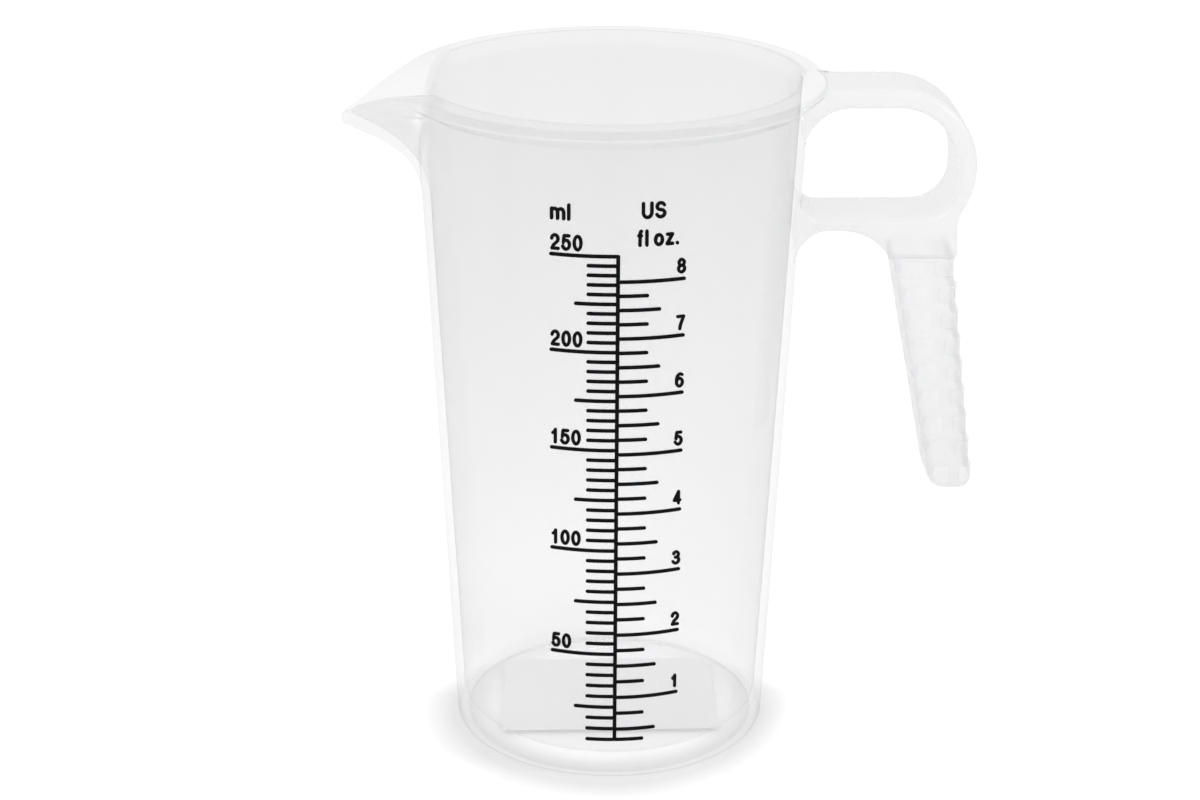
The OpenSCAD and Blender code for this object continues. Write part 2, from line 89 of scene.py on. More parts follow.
def arc(centre: Point2, radius: Point2, start: float, end: float, steps: int) -> list[Point2]:
    """Points of an arc.

    Args:
        centre: Middle of the arc.
        radius: Radius along each axis.
        start: First angle, in degrees.
        end: Last angle, in degrees.
        steps: Number of stretches.

    Returns:
        One point more than there are stretches.
    """
    angles = (math.radians(start + (end - start) * i / steps) for i in range(steps + 1))
    return [(centre[0] + radius[0] * math.cos(a), centre[1] + radius[1] * math.sin(a)) for a in angles]


def mix(a: Sequence[float], b: Sequence[float], share: float) -> tuple[float, ...]:
    """Point between a and b."""
    return tuple(p + (q - p) * share for p, q in zip(a, b))


def clamp(value: float) -> float:
    """The value kept between 0 and 1."""
    return min(1.0, max(0.0, value))


def cubic(p: Point2, q: Point2, r: Point2, s: Point2, steps: int) -> list[Point2]:
    """Points of a cubic curve.

    Args:
        p: Where it starts.
        q: Its first control point.
        r: Its second control point.
        s: Where it ends.
        steps: Number of stretches.

    Returns:
        One point more than there are stretches.
    """
    points = []
    for i in range(steps + 1):
        t = i / steps
        weights = ((1 - t) ** 3, 3 * t * (1 - t) ** 2, 3 * t**2 * (1 - t), t**3)
        points.append(tuple(sum(w * v[k] for w, v in zip(weights, (p, q, r, s))) for k in (0, 1)))
    return points


def rounded(before: Point2, corner: Point2, after: Point2, radius: float, steps: int) -> list[Point2]:
    """Arc that rounds a corner between two straight stretches.

    Args:
        before: A point on the stretch that comes in.
        corner: The sharp corner.
        after: A point on the stretch that goes out.
        radius: Radius of the arc, made smaller where a stretch is too short.
        steps: Number of stretches of the arc.

    Returns:
        Points of the arc, in the order of the way.
    """
    c = Vector(corner)
    one, two = Vector(before) - c, Vector(after) - c
    near, far = one.length, two.length
    one.normalize()
    two.normalize()
    half = one.angle(two) / 2
    if half > ALMOST_STRAIGHT:
        return [tuple(c)] * (steps + 1)
    back = min(radius / math.tan(half), MOST_OF_STRETCH * near, MOST_OF_STRETCH * far)
    radius = back * math.tan(half)
    middle = c + (one + two).normalized() * (radius / math.sin(half))
    start, end = c + one * back - middle, c + two * back - middle
    turn = start.angle_signed(end)
    points = []
    for i in range(steps + 1):
        spun = Matrix.Rotation(-turn * i / steps, 2) @ start
        points.append(tuple(middle + spun))
    return points


def soften(corners: Sequence[tuple[Point2, float]], steps: int = 6) -> list[Point2]:
    """Closed outline with its corners rounded.

    Args:
        corners: Corners, each with its own radius. A radius of 0 leaves it sharp.
        steps: Number of stretches of each rounding.

    Returns:
        Points of the outline, in the same order.
    """
    points: list[Point2] = []
    for i, (corner, radius) in enumerate(corners):
        if radius <= 0:
            points.append(corner)
            continue
        after = corners[(i + 1) % len(corners)][0]
        points += rounded(corners[i - 1][0], corner, after, radius, steps)
    return points


def inset(outline: Sequence[Point2], distance: float, shares: Sequence[float] = ()) -> list[Point2]:
    """Closed outline moved inwards, point by point.

    Args:
        outline: Points that run anticlockwise.
        distance: How far it moves.
        shares: Share of that distance for each point, or nothing for the whole of it.

    Returns:
        As many points.
    """
    moved = []
    for i, (here, share) in enumerate(zip(outline, shares or [1.0] * len(outline))):
        before, after = Vector(outline[i - 1]), Vector(outline[(i + 1) % len(outline)])
        one, two = (Vector(here) - before).normalized(), (after - Vector(here)).normalized()
        normal = (one.orthogonal() + two.orthogonal()).normalized()
        reach = share * distance / max(LEAST_COSINE, normal.dot(two.orthogonal()))
        moved.append((here[0] + normal[0] * reach, here[1] + normal[1] * reach))
    return moved


def anticlockwise(outline: Sequence[Point2]) -> list[Point2]:
    """The same closed outline, turned so that it runs anticlockwise."""
    area = sum(a[0] * b[1] - b[0] * a[1] for a, b in zip(outline, [*outline[1:], outline[0]]))
    return list(outline) if area > 0 else list(reversed(outline))


def spread(outline: Sequence[Point2], step: float) -> list[Point2]:
    """Closed outline with points added on its long stretches.

    Args:
        outline: Its points.
        step: Greatest distance between two neighbours.

    Returns:
        The same points with the new ones between them.
    """
    points: list[Point2] = []
    for a, b in zip(outline, [*outline[1:], outline[0]]):
        count = max(1, math.ceil(math.dist(a, b) / step))
        points += [mix(a, b, i / count) for i in range(count)]
    return points


# Meshes


@dataclass
class Shell:
    """Points in millimetres and faces that become one mesh."""

    points: list[Point3] = field(default_factory=list)
    faces: list[tuple[int, ...]] = field(default_factory=list)

    def row(self, points: Sequence[Point3]) -> list[int]:
        """Adds a row of points.

        Args:
            points: Their places, in millimetres.

        Returns:
            Their numbers.
        """
        first = len(self.points)
        self.points += [tuple(p) for p in points]
        return list(range(first, len(self.points)))

    def bridge(self, one: Sequence[int], two: Sequence[int], closed: bool = True) -> None:
        """Adds a strip of faces between two rows of the same length.

        Args:
            one: Numbers of the first row's points.
            two: Numbers of the second row's points.
            closed: True where the strip's end meets its start.
        """
        last = len(one) if closed else len(one) - 1
        for i in range(last):
            k = (i + 1) % len(one)
            self.faces.append((one[i], one[k], two[k], two[i]))

    def fan(self, row: Sequence[int], centre: Point3) -> None:
        """Closes a row with triangles to a point.

        Args:
            row: Numbers of the row's points.
            centre: Place of that point.
        """
        tip = self.row([centre])[0]
        for i, a in enumerate(row):
            self.faces.append((a, row[(i + 1) % len(row)], tip))

    def cover(self, row: Sequence[int], flat: Sequence[Point2], lift: Callable[[Point2], Point3],
              inner: Sequence[Point2] = ()) -> None:
        """Closes a row with flat triangles.

        Args:
            row: Numbers of the border's points.
            flat: The same points in the plane of the cover, anticlockwise.
            lift: Takes a point of that plane to its place.
            inner: Further points inside the border, for a cover that bends.
        """
        flat_points = [Vector(p) for p in [*flat, *inner]]
        made = delaunay_2d_cdt(flat_points, [], [list(range(len(flat)))], FILL_INSIDE, 1e-7)
        numbers = {}
        for k in sorted({k for face in made[2] for k in face}):
            sources = made[3][k]
            if sources and sources[0] < len(row):
                numbers[k] = row[sources[0]]
            else:
                numbers[k] = self.row([lift(tuple(made[0][k]))])[0]
        self.faces += [tuple(numbers[k] for k in face) for face in made[2]]

    def mesh(self, name: str, sharp: float = 40.0) -> bpy.types.Mesh:
        """Closed mesh in metres, with its normals outwards.

        Args:
            name: Name of the mesh.
            sharp: Edges that turn by more degrees than this stay sharp.

        Returns:
            The new mesh.
        """
        mesh = bpy.data.meshes.new(name)
        mesh.from_pydata([[v * MM for v in p] for p in self.points], [], self.faces)
        tidy(mesh, sharp)
        return mesh


def tidy(mesh: bpy.types.Mesh, sharp: float) -> None:
    """Merges doubles, turns the faces outwards and shades them smooth.

    Args:
        mesh: The mesh, changed in place.
        sharp: Edges that turn by more degrees than this stay sharp.
    """
    work = bmesh.new()
    work.from_mesh(mesh)
    bmesh.ops.remove_doubles(work, verts=work.verts, dist=1e-7)
    bmesh.ops.dissolve_degenerate(work, edges=work.edges, dist=1e-8)
    bmesh.ops.recalc_face_normals(work, faces=work.faces)
    work.to_mesh(mesh)
    work.free()
    mesh.shade_smooth()
    mesh.set_sharp_from_angle(angle=math.radians(sharp))
    mesh.update()


def show(mesh: bpy.types.Mesh) -> bpy.types.Object:
    """Puts a mesh into the scene.

    Args:
        mesh: The mesh.

    Returns:
        New object with the mesh's name.
    """
    made = bpy.data.objects.new(mesh.name, mesh)
    bpy.context.scene.collection.objects.link(made)
    return made


def plate(name: str, outline: Sequence[Point2], half_width: Callable[[Point2], float],
          edge_in: float, edge_across: float, inner: Sequence[Point2] = (),
          bend: Callable[[Point3], Point3] = tuple, fade: Callable[[Point2], float] = lambda p: 1.0
          ) -> bpy.types.Mesh:
    """Thick plate that stands in the XZ plane, with rounded edges.

    Args:
        name: Name of the mesh.
        outline: Its side outline.
        half_width: Half of its width at a point of the outline.
        edge_in: How far the rounding reaches in from the outline.
        edge_across: How far the rounding reaches across the width.
        inner: Points inside the outline at which the flat sides may bend.
        bend: Moves each finished point.
        fade: Share of the rounding at a point of the outline.

    Returns:
        The closed mesh.
    """
    shell = Shell()
    outline = anticlockwise(outline)
    shares = [fade(p) for p in outline]
    borders = []
    for side in (-1, 1):
        rows = []
        for k in range(EDGE_STEPS + 1):
            turn = math.pi / 2 * k / EDGE_STEPS
            moved = inset(outline, edge_in * (1 - math.cos(turn)), shares)
            back = edge_across * (1 - math.sin(turn))
            rows.append(shell.row([(p[0], side * (half_width(q) - back * share), p[1])
                                   for p, q, share in zip(moved, outline, shares)]))
        for one, two in zip(rows, rows[1:]):
            shell.bridge(one, two)
        shell.cover(rows[-1], moved, lambda p, s=side: (p[0], s * half_width(p), p[1]), inner)
        borders.append(rows[0])
    ends = [[shell.points[k] for k in row] for row in borders]
    across = [shell.row([mix(a, b, k / ACROSS_STEPS) for a, b in zip(*ends)])
              for k in range(1, ACROSS_STEPS)]
    between = [borders[0], *across, borders[1]]
    for one, two in zip(between, between[1:]):
        shell.bridge(one, two)
    shell.points = [bend(p) for p in shell.points]
    return shell.mesh(name)


# Node trees


class Number:
    """A number socket that adds Math nodes when it is used in a sum."""

    def __init__(self, graph: "Graph", socket: bpy.types.NodeSocket) -> None:
        """Wraps a socket of a graph."""
        self.graph = graph
        self.socket = socket

    def _with(self, operation: str, one: object, two: object) -> "Number":
        """Math node on two values or sockets."""
        node = self.graph.add("ShaderNodeMath", {"operation": operation}, {0: one, 1: two})
        return Number(self.graph, node.outputs[0])

    def __add__(self, other: object) -> "Number":
        """Sum."""
        return self._with("ADD", self, other)

    __radd__ = __add__

    def __mul__(self, other: object) -> "Number":
        """Product."""
        return self._with("MULTIPLY", self, other)

    __rmul__ = __mul__

    def __sub__(self, other: object) -> "Number":
        """Difference."""
        return self._with("SUBTRACT", self, other)

    def __rsub__(self, other: object) -> "Number":
        """Difference from a plain value."""
        return self._with("SUBTRACT", other, self)

    def __truediv__(self, other: object) -> "Number":
        """Quotient."""
        return self._with("DIVIDE", self, other)

    def call(self, operation: str, other: object = 0.0) -> "Number":
        """Another operation of the Math node, such as SINE or MAXIMUM."""
        return self._with(operation, self, other)

    def above(self, other: object) -> "Number":
        """1 where this is more than a value, else 0."""
        return self.call("GREATER_THAN", other)

    def below(self, other: object) -> "Number":
        """1 where this is less than a value, else 0."""
        return self.call("LESS_THAN", other)

    def clamped(self) -> "Number":
        """The value kept between 0 and 1."""
        return self.call("MAXIMUM", 0.0).call("MINIMUM", 1.0)


class Graph:
    """Adds nodes and links to one node tree."""

    def __init__(self, tree: bpy.types.NodeTree) -> None:
        """Works on a tree."""
        self.tree = tree

    def add(self, kind: str, settings: dict[str, object] | None = None,
            inputs: dict[object, object] | None = None) -> bpy.types.Node:
        """Adds a node.

        Args:
            kind: Type of the node.
            settings: The node's own settings, set before its sockets. stops gives a ramp's
                places and colours.
            inputs: Values, sockets or Numbers for its input sockets, by name or place.

        Returns:
            The new node.
        """
        node = self.tree.nodes.new(kind)
        for name, value in (settings or {}).items():
            if name == "stops":
                ramp = node.color_ramp
                while len(ramp.elements) < len(value):
                    ramp.elements.new(0.5)
                for element, (place, colour) in zip(ramp.elements, value):
                    element.position = place
                    element.color = colour
            else:
                setattr(node, name, value)
        for key, value in (inputs or {}).items():
            self.feed(node.inputs[key], value)
        return node

    def feed(self, socket: bpy.types.NodeSocket, value: object) -> None:
        """Sets a socket to a value, or links another socket to it.

        Args:
            socket: The input socket.
            value: A plain value, a socket or a Number.
        """
        if isinstance(value, Number):
            value = value.socket
        if isinstance(value, bpy.types.NodeSocket):
            self.tree.links.new(value, socket)
        else:
            socket.default_value = value

    def number(self, node: bpy.types.Node, output: object = 0) -> Number:
        """A node's output as a Number."""
        return Number(self, node.outputs[output])

    def place(self) -> bpy.types.NodeSocket:
        """Place of a point on its object, in metres."""
        return self.add("ShaderNodeTexCoord").outputs["Object"]

    def noise(self, place: bpy.types.NodeSocket, size: float, detail: float) -> bpy.types.Node:
        """Noise whose spots have a size in millimetres."""
        return self.add("ShaderNodeTexNoise", inputs={
            "Vector": place, "Scale": 1 / (size * MM), "Detail": detail})

    def shaded(self, colour: object, shade: Number) -> bpy.types.NodeSocket:
        """A colour times a grey.

        Args:
            colour: A plain colour or a socket.
            shade: How bright the grey is.

        Returns:
            Socket of the darker colour.
        """
        grey = self.add("ShaderNodeCombineColor", inputs={0: shade, 1: shade, 2: shade})
        return self.add("ShaderNodeMix", {"data_type": "RGBA", "blend_type": "MULTIPLY"}, {
            "Factor": 1.0, 6: colour, 7: grey.outputs[0]}).outputs[2]

    def blend(self, share: object, one: bpy.types.Node, two: bpy.types.Node) -> bpy.types.Node:
        """Mix of two shaders, with a share of the second."""
        return self.add("ShaderNodeMixShader", inputs={0: share, 1: one.outputs[0], 2: two.outputs[0]})

    def seen(self) -> Number:
        """Tells what the camera sees, also in and through the plastic.

        Returns:
            1 for what it sees, else 0.
        """
        path = self.add("ShaderNodeLightPath")
        straight = self.number(path, "Is Camera Ray").call("MAXIMUM", self.number(path, "Is Glossy Ray"))
        return straight.call("MAXIMUM", self.number(path, "Is Transmission Ray"))


class GeometryTree:
    """A Geometry Nodes tree with named inputs, whose result becomes a plain mesh."""

    def __init__(self, name: str, inputs: Sequence[tuple[str, str]]) -> None:
        """Starts a tree.

        Args:
            name: Name of the tree.
            inputs: Name and socket type of each input after the geometry.
        """
        self.tree = bpy.data.node_groups.new(name, "GeometryNodeTree")
        face = self.tree.interface
        face.new_socket("Geometry", in_out="INPUT", socket_type="NodeSocketGeometry")
        for label, kind in inputs:
            face.new_socket(label, in_out="INPUT", socket_type=kind)
        face.new_socket("Geometry", in_out="OUTPUT", socket_type="NodeSocketGeometry")
        self.graph = Graph(self.tree)
        self.given = self.graph.add("NodeGroupInput")
        self.result = self.graph.add("NodeGroupOutput")

    def end(self, geometry: bpy.types.NodeSocket) -> None:
        """Closes the tree with Realize Instances and Set Material.

        Args:
            geometry: Socket of the finished geometry.
        """
        real = self.graph.add("GeometryNodeRealizeInstances", inputs={0: geometry})
        dressed = self.graph.add("GeometryNodeSetMaterial",
                                 inputs={0: real.outputs[0], "Material": self.given.outputs["Material"]})
        self.graph.feed(self.result.inputs[0], dressed.outputs[0])

    def bake(self, carrier: bpy.types.Object, values: dict[str, object], sharp: float = 40.0
             ) -> bpy.types.Object:
        """Runs the tree on an object and leaves a plain mesh in its place.

        Args:
            carrier: The object that carries the tree's input mesh.
            values: Value of each named input.
            sharp: Edges that turn by more degrees than this stay sharp.

        Returns:
            The same object with the finished mesh.
        """
        modifier = carrier.modifiers.new(self.tree.name, "NODES")
        modifier.node_group = self.tree
        for item in self.tree.interface.items_tree:
            if item.in_out == "INPUT" and item.name in values:
                modifier[item.identifier] = values[item.name]
        bpy.context.view_layer.update()
        graph = bpy.context.evaluated_depsgraph_get()
        mesh = bpy.data.meshes.new_from_object(carrier.evaluated_get(graph))
        carrier.modifiers.remove(modifier)
        flat = carrier.data
        name = flat.name
        carrier.data = mesh
        bpy.data.meshes.remove(flat)
        mesh.name = name
        tidy(mesh, sharp)
        return carrier


# Finishes


def blank(name: str) -> tuple[bpy.types.Material, Graph]:
    """New material with an empty tree.

    Args:
        name: Name of the material.

    Returns:
        The material and the graph of its tree.
    """
    made = bpy.data.materials.new(name)
    made.use_nodes = True
    made.node_tree.nodes.clear()
    return made, Graph(made.node_tree)


@dataclass(frozen=True)
class Polypropylene:
    """Milky see-through plastic, a little cloudier towards the top, with its milk colour blended by height as
    painted light and shade. Pattern sizes are in millimetres.
    """

    name: str
    # Milk colour at the foot and at the top, blended by height: the plastic's own white with painted light
    # and shade, set for each piece to even out how light falls on it
    low_colour: Colour = (0.98, 0.98, 0.985)
    high_colour: Colour = (0.51, 0.51, 0.52)
    low_haze: float = 0.13
    high_haze: float = 0.24
    height: float = 120.0
    # Extra haze at the height of the floor: its middle and half of its thickness
    slab: Point2 = (2.7, 1.1)
    slab_haze: float = 0.04
    level_power: float = 0.5
    clear: Colour = (0.995, 0.995, 0.997)
    through: float = 0.15
    straight: float = 0.97
    roughness: float = 0.06
    gloss_roughness: float = 0.14
    bend_ior: float = 1.12
    gloss_ior: float = 1.46
    cloud_size: float = 16.0
    cloud_depth: float = 0.03
    grain_size: float = 0.25
    grain_depth: float = 0.003

    def material(self, joined: Callable[[Number, Number, Number], Number] | None = None,
                 painted_tint: Callable[[Number, Number, Number], Number] | None = None) -> bpy.types.Material:
        """Glass that scatters part of the light where it enters.

        Args:
            joined: Takes a place in millimetres. Gives 1 where the surface lies inside the next
                piece of the same moulding and so isn't there on the real cup, else 0.
            painted_tint: Takes a place too. Gives the share of the milk's colour that is left there, as
                painted light and shade.

        Returns:
            The new material.
        """
        made, g = blank(self.name)
        place = g.place()
        cloud = g.noise(place, self.cloud_size, detail=3.0)
        grain = g.noise(place, self.grain_size, detail=2.0)
        spot = g.add("ShaderNodeSeparateXYZ", inputs={0: place})
        x, y, z = (g.number(spot, k) / MM for k in range(3))
        level = (z / self.height).call("MAXIMUM", 0.0).call("POWER", self.level_power)
        shade = g.number(cloud) * (2 * self.cloud_depth) + (1 - self.cloud_depth)
        # Painted light and shade that the piece gives, on top of the cloud's random tone
        if painted_tint:
            shade = shade * painted_tint(x, y, z)
        # Painted light and shade: the milk's colour changes with height
        milk_colour = g.add("ShaderNodeMix", {"data_type": "RGBA"}, {
            "Factor": level, 6: (*self.low_colour, 1.0), 7: (*self.high_colour, 1.0)})
        tint = g.shaded(milk_colour.outputs[2], shade)
        bump = g.add("ShaderNodeBump", inputs={
            "Strength": 1.0, "Distance": self.grain_depth * MM, "Height": grain.outputs[0]}).outputs[0]
        bent_way = g.add("ShaderNodeBsdfPrincipled", inputs={
            "Base Color": (*self.clear, 1.0), "Roughness": self.roughness, "IOR": self.bend_ior,
            "Transmission Weight": 1.0, "Normal": bump})
        open_way = g.add("ShaderNodeBsdfTransparent", inputs={"Color": (*self.clear, 1.0)})
        window = g.blend(self.straight, bent_way, open_way)
        milk = g.blend(self.through, g.add("ShaderNodeBsdfDiffuse", inputs={"Color": tint}),
                       g.add("ShaderNodeBsdfTranslucent", inputs={"Color": tint}))
        outside = 1 - g.number(g.add("ShaderNodeNewGeometry"), "Backfacing")
        slab = 1 - ((z - self.slab[0]) / self.slab[1]).call("ABSOLUTE")
        haze = level * (self.high_haze - self.low_haze) + self.low_haze
        haze = haze + slab.call("MAXIMUM", 0.0) * self.slab_haze
        body = g.blend(outside * haze, window, milk)
        gloss = g.add("ShaderNodeBsdfGlossy", inputs={"Roughness": self.gloss_roughness, "Normal": bump})
        edge = g.number(g.add("ShaderNodeFresnel", inputs={"IOR": self.gloss_ior, "Normal": bump}))
        coated = g.blend(edge * outside, body, gloss)
        if joined:
            nothing = g.add("ShaderNodeBsdfTransparent", inputs={"Color": (1, 1, 1, 1)})
            coated = g.blend(joined(x, y, z), coated, nothing)
        g.add("ShaderNodeOutputMaterial", inputs={"Surface": coated.outputs[0]})
        return made


@dataclass(frozen=True)
class Foil:
    """Black hot-stamped foil with fine wear on its faces."""

    name: str = "black_foil"
    colour: Colour = (0.002, 0.002, 0.0025)
    worn: Colour = (0.02, 0.02, 0.022)
    wear: Point2 = (0.55, 0.8)
    roughness: float = 0.42
    roughness_range: float = 0.2
    shine: float = 0.05
    speck_size: float = 0.35

    def material(self) -> bpy.types.Material:
        """Near black with a faint grain in its colour and shine.

        Returns:
            The new material.
        """
        made, g = blank(self.name)
        noise = g.noise(g.place(), self.speck_size, detail=2.0)
        speck = g.add("ShaderNodeValToRGB", {"stops": [
            (self.wear[0], (*self.colour, 1.0)), (self.wear[1], (*self.worn, 1.0))]}, {0: noise.outputs[0]})
        rough = g.number(noise) * self.roughness_range + (self.roughness - self.roughness_range / 2)
        base = g.add("ShaderNodeBsdfPrincipled", inputs={
            "Base Color": speck.outputs[0], "Roughness": rough, "Specular IOR Level": self.shine})
        g.add("ShaderNodeOutputMaterial", inputs={"Surface": base.outputs[0]})
        return made


@dataclass(frozen=True)
class Paper:
    """White sticker paper."""

    name: str = "sticker_paper"
    colour: Colour = (0.97, 0.97, 0.965)
    roughness: float = 0.6
    fibre_size: float = 0.5
    fibre_depth: float = 0.03
    fibre_shade: float = 0.06

    def material(self) -> bpy.types.Material:
        """Matt white with fine fibres.

        Returns:
            The new material.
        """
        made, g = blank(self.name)
        fibre = g.noise(g.place(), self.fibre_size, detail=5.0)
        tint = g.shaded((*self.colour, 1.0), g.number(fibre) * self.fibre_shade + (1 - self.fibre_shade))
        bump = g.add("ShaderNodeBump", inputs={
            "Distance": self.fibre_depth * MM, "Height": fibre.outputs[0]})
        base = g.add("ShaderNodeBsdfPrincipled", inputs={
            "Base Color": tint, "Roughness": self.roughness, "Normal": bump.outputs[0]})
        g.add("ShaderNodeOutputMaterial", inputs={"Surface": base.outputs[0]})
        return made


# The cup


@dataclass
class Cup:
    """Wall, floor, foot ring, rim and spout: one turned moulding with its lip drawn out."""

    height: float = 119.7
    foot_r: float = 28.0
    draft: float = math.radians(2.69)
    wall: float = 1.4
    floor: float = 2.2
    recess: float = 1.0
    foot_w: float = 2.2
    foot_edge: float = 0.7
    foot_inner_edge: float = 0.3
    corner: float = 3.0
    rim_out: float = 2.7
    rim_face: float = 1.8
    rim_slope: float = 2.0
    rim_edges: tuple[float, float, float, float] = (0.8, 0.5, 0.6, 0.4)
    mouth_half: float = math.radians(30)
    spout_reach: float = 9.7
    spout_drop: float = 6.3
    spout_depth: float = 21.7
    lip: float = 1.3
    nose_r: float = 1.6
    nose_out: float = 0.8
    nose_turn: float = 70.0
    nose_wide: float = 1.15
    tip_under: Point2 = (0.5, 0.25)
    lip_slope: float = math.radians(24)
    lip_pull: float = 8.0
    least_swell: float = 0.06
    spout_rows: int = 16
    wall_rows: int = 14
    flank_steps: int = 30
    nose_steps: int = 9
    round_steps: int = 150
    floor_rings: int = 4
    # Tint of the inner side and the rim, matched to the photograph: painted shade inside, painted light on
    # the rim and painted dark lines along it
    inner_loss: float = 0.45
    inner_loss_by: float = 40.0
    rim_gain: float = 0.3
    rim_gain_from: float = 1.0
    back_line: Point2 = (0.25, 1.15)
    back_line_depth: float = 0.7
    back_line_loss: float = 0.9
    front_line: Point2 = (0.3, 0.1)
    front_line_width: float = 0.5
    front_line_loss: float = 0.55

    @property
    def floor_top(self) -> float:
        """Height of the floor inside."""
        return self.recess + self.floor

    @property
    def rim_foot(self) -> float:
        """Height at which the rim leaves the wall."""
        return self.height - self.rim_face - self.rim_slope

    @property
    def rim_r(self) -> float:
        """Radius of the rim."""
        return self.outer(self.height) + self.rim_out

    def outer(self, z: float) -> float:
        """Outer radius of the wall at a height."""
        return self.foot_r + math.tan(self.draft) * z

    def inner(self, z: float) -> float:
        """Inner radius of the wall at a height."""
        return self.outer(z) - self.wall

    def face(self, z: float) -> float:
        """Radius of what a hand feels at a height: the wall, or the rim and the slope under it."""
        up = clamp((z - self.rim_foot) / self.rim_slope)
        return self.outer(z) + (self.rim_r - self.outer(z)) * up

    def inner_shade(self, x: Number, y: Number, z: Number) -> Number:
        """Painted light and shade on the milk at a place, matched to the photograph.

        The inner side has painted shade and the rim painted light, with a painted dark line along its inner
        edge at the back and along its outer edge in front.

        Args:
            x: Place along X, in millimetres.
            y: Place along Y.
            z: Height.

        Returns:
            Share of the milk's colour that is left there.
        """
        out = (x * x + y * y).call("SQRT") - z * math.tan(self.draft)
        inner_r, rim_r = self.foot_r - self.wall, self.foot_r + self.rim_out
        inside = out.below(self.foot_r - self.wall / 2)
        # Painted dark lines along the rim, painted light on the rim and painted shade on the inner side
        back = (y.above(0.0) * z.above(self.height - self.back_line_depth)
                * out.above(inner_r + self.back_line[0]) * out.below(inner_r + self.back_line[1]))
        front = (y.below(0.0) * out.above(rim_r - self.front_line_width)
                 * z.above(self.height - self.rim_face + self.front_line[0])
                 * z.below(self.height - self.front_line[1]))
        ring = x.above(-self.foot_r)
        rim = (z - self.rim_foot - self.rim_gain_from).clamped()
        loss = inside * (z / self.inner_loss_by).call("MINIMUM", 1.0) * self.inner_loss
        lines = back * self.back_line_loss + front * self.front_line_loss
        return 1 - loss + (rim * self.rim_gain - lines) * ring

    def lip_plan(self) -> list[Point2]:
        """Plan of the lip, drawn with its tip towards +X.

        Returns:
            Points from one end of the mouth round the tip to the other.
        """
        x0, y0 = self.rim_r * math.cos(self.mouth_half), self.rim_r * math.sin(self.mouth_half)
        slope = math.tan(self.mouth_half)
        bend = (self.rim_r + self.spout_reach - self.nose_out - x0 - slope * y0) / y0**2
        nose_y = self.nose_wide * self.nose_r
        half = []
        for i in range(self.flank_steps + 1):
            run = (y0 - nose_y) * i / self.flank_steps
            half.append((x0 + slope * run + bend * run**2, y0 - run))
        nose = (self.rim_r + self.spout_reach - self.nose_r, 0.0)
        half += arc(nose, (self.nose_r, self.nose_r), self.nose_turn, 0, self.nose_steps)[1:]
        return half + [(x, -y) for x, y in reversed(half[:-1])]

    def swell(self, share: float, outside: bool) -> list[Point2]:
        """Upright section of the spout from where it leaves the wall up to the lip.

        Args:
            share: How much of the tip's reach the section has.
            outside: True for the outer face, False for the channel.

        Returns:
            Points of (radius, height) from the wall up.
        """
        size = max(share, self.least_swell)
        top = self.rim_foot if outside else self.height
        radius = self.outer if outside else self.inner
        foot_z = top - size * (top - (self.height - self.spout_depth))
        foot, plain = (radius(foot_z), foot_z), (radius(top), top)
        tip_r, tip_z = self.rim_r + self.spout_reach, self.height - self.spout_drop
        tip = (tip_r - self.lip, tip_z)
        if outside:
            tip = (tip_r - self.tip_under[0], tip_z - self.rim_face - self.tip_under[1])
        end = mix(plain, tip, share)
        pull = self.lip_pull * size
        up = (math.sin(self.draft) * pull, math.cos(self.draft) * pull)
        level = (math.cos(self.lip_slope) * pull, math.sin(self.lip_slope) * pull)
        curve = cubic(foot, (foot[0] + up[0], foot[1] + up[1]), (end[0] - level[0], end[1] - level[1]),
                      end, self.spout_rows)
        ease = min(1.0, share / self.least_swell)
        return [mix(mix(foot, plain, i / self.spout_rows), p, ease) for i, p in enumerate(curve)]

    def section(self, share: float) -> list[Point2]:
        """Whole upright section as (radius, height), from under the floor round to its top.

        Args:
            share: How much of the tip's reach the section has: 0 away from the spout.

        Returns:
            The same number of points for every share.
        """
        foot_in = self.foot_r - self.foot_w
        small = self.foot_inner_edge
        under = [(foot_in * i / self.floor_rings, self.recess) for i in range(1, self.floor_rings)]
        under += arc((foot_in - small, self.recess - small), (small, small), 90, 0, steps=4)
        under += arc((foot_in + small, small), (small, small), 180, 270, steps=4)
        edge_r = self.outer(self.foot_edge) - self.foot_edge / math.cos(self.draft)
        under += arc((edge_r, self.foot_edge), (self.foot_edge, self.foot_edge), -90,
                     -math.degrees(self.draft), steps=6)
        outside, inside = self.swell(share, True), self.swell(share, False)
        start = under[-1]
        wall = [mix(start, outside[0], i / self.wall_rows) for i in range(1, self.wall_rows)]
        face_r = self.rim_r + self.spout_reach * share
        top = self.height - self.spout_drop * share
        corners = [outside[-2], outside[-1], (face_r, top - self.rim_face), (face_r, top),
                   inside[-1], inside[-2]]
        rim: list[Point2] = []
        for i, radius in enumerate(self.rim_edges):
            rim += rounded(corners[i], corners[i + 1], corners[i + 2], radius, steps=4)
        corner_z = self.floor_top + self.corner
        floor_r = self.inner(self.floor_top) - self.corner
        bottom = arc((floor_r, corner_z), (self.corner, self.corner), 0, -90, steps=10)
        inner_wall = [mix(inside[0], bottom[0], i / self.wall_rows) for i in range(1, self.wall_rows)]
        floor = [(floor_r * i / self.floor_rings, self.floor_top)
                 for i in range(self.floor_rings - 1, 0, -1)]
        return [*under, *wall, *outside[:-1], *rim, *reversed(inside[:-1]), *inner_wall, *bottom, *floor]

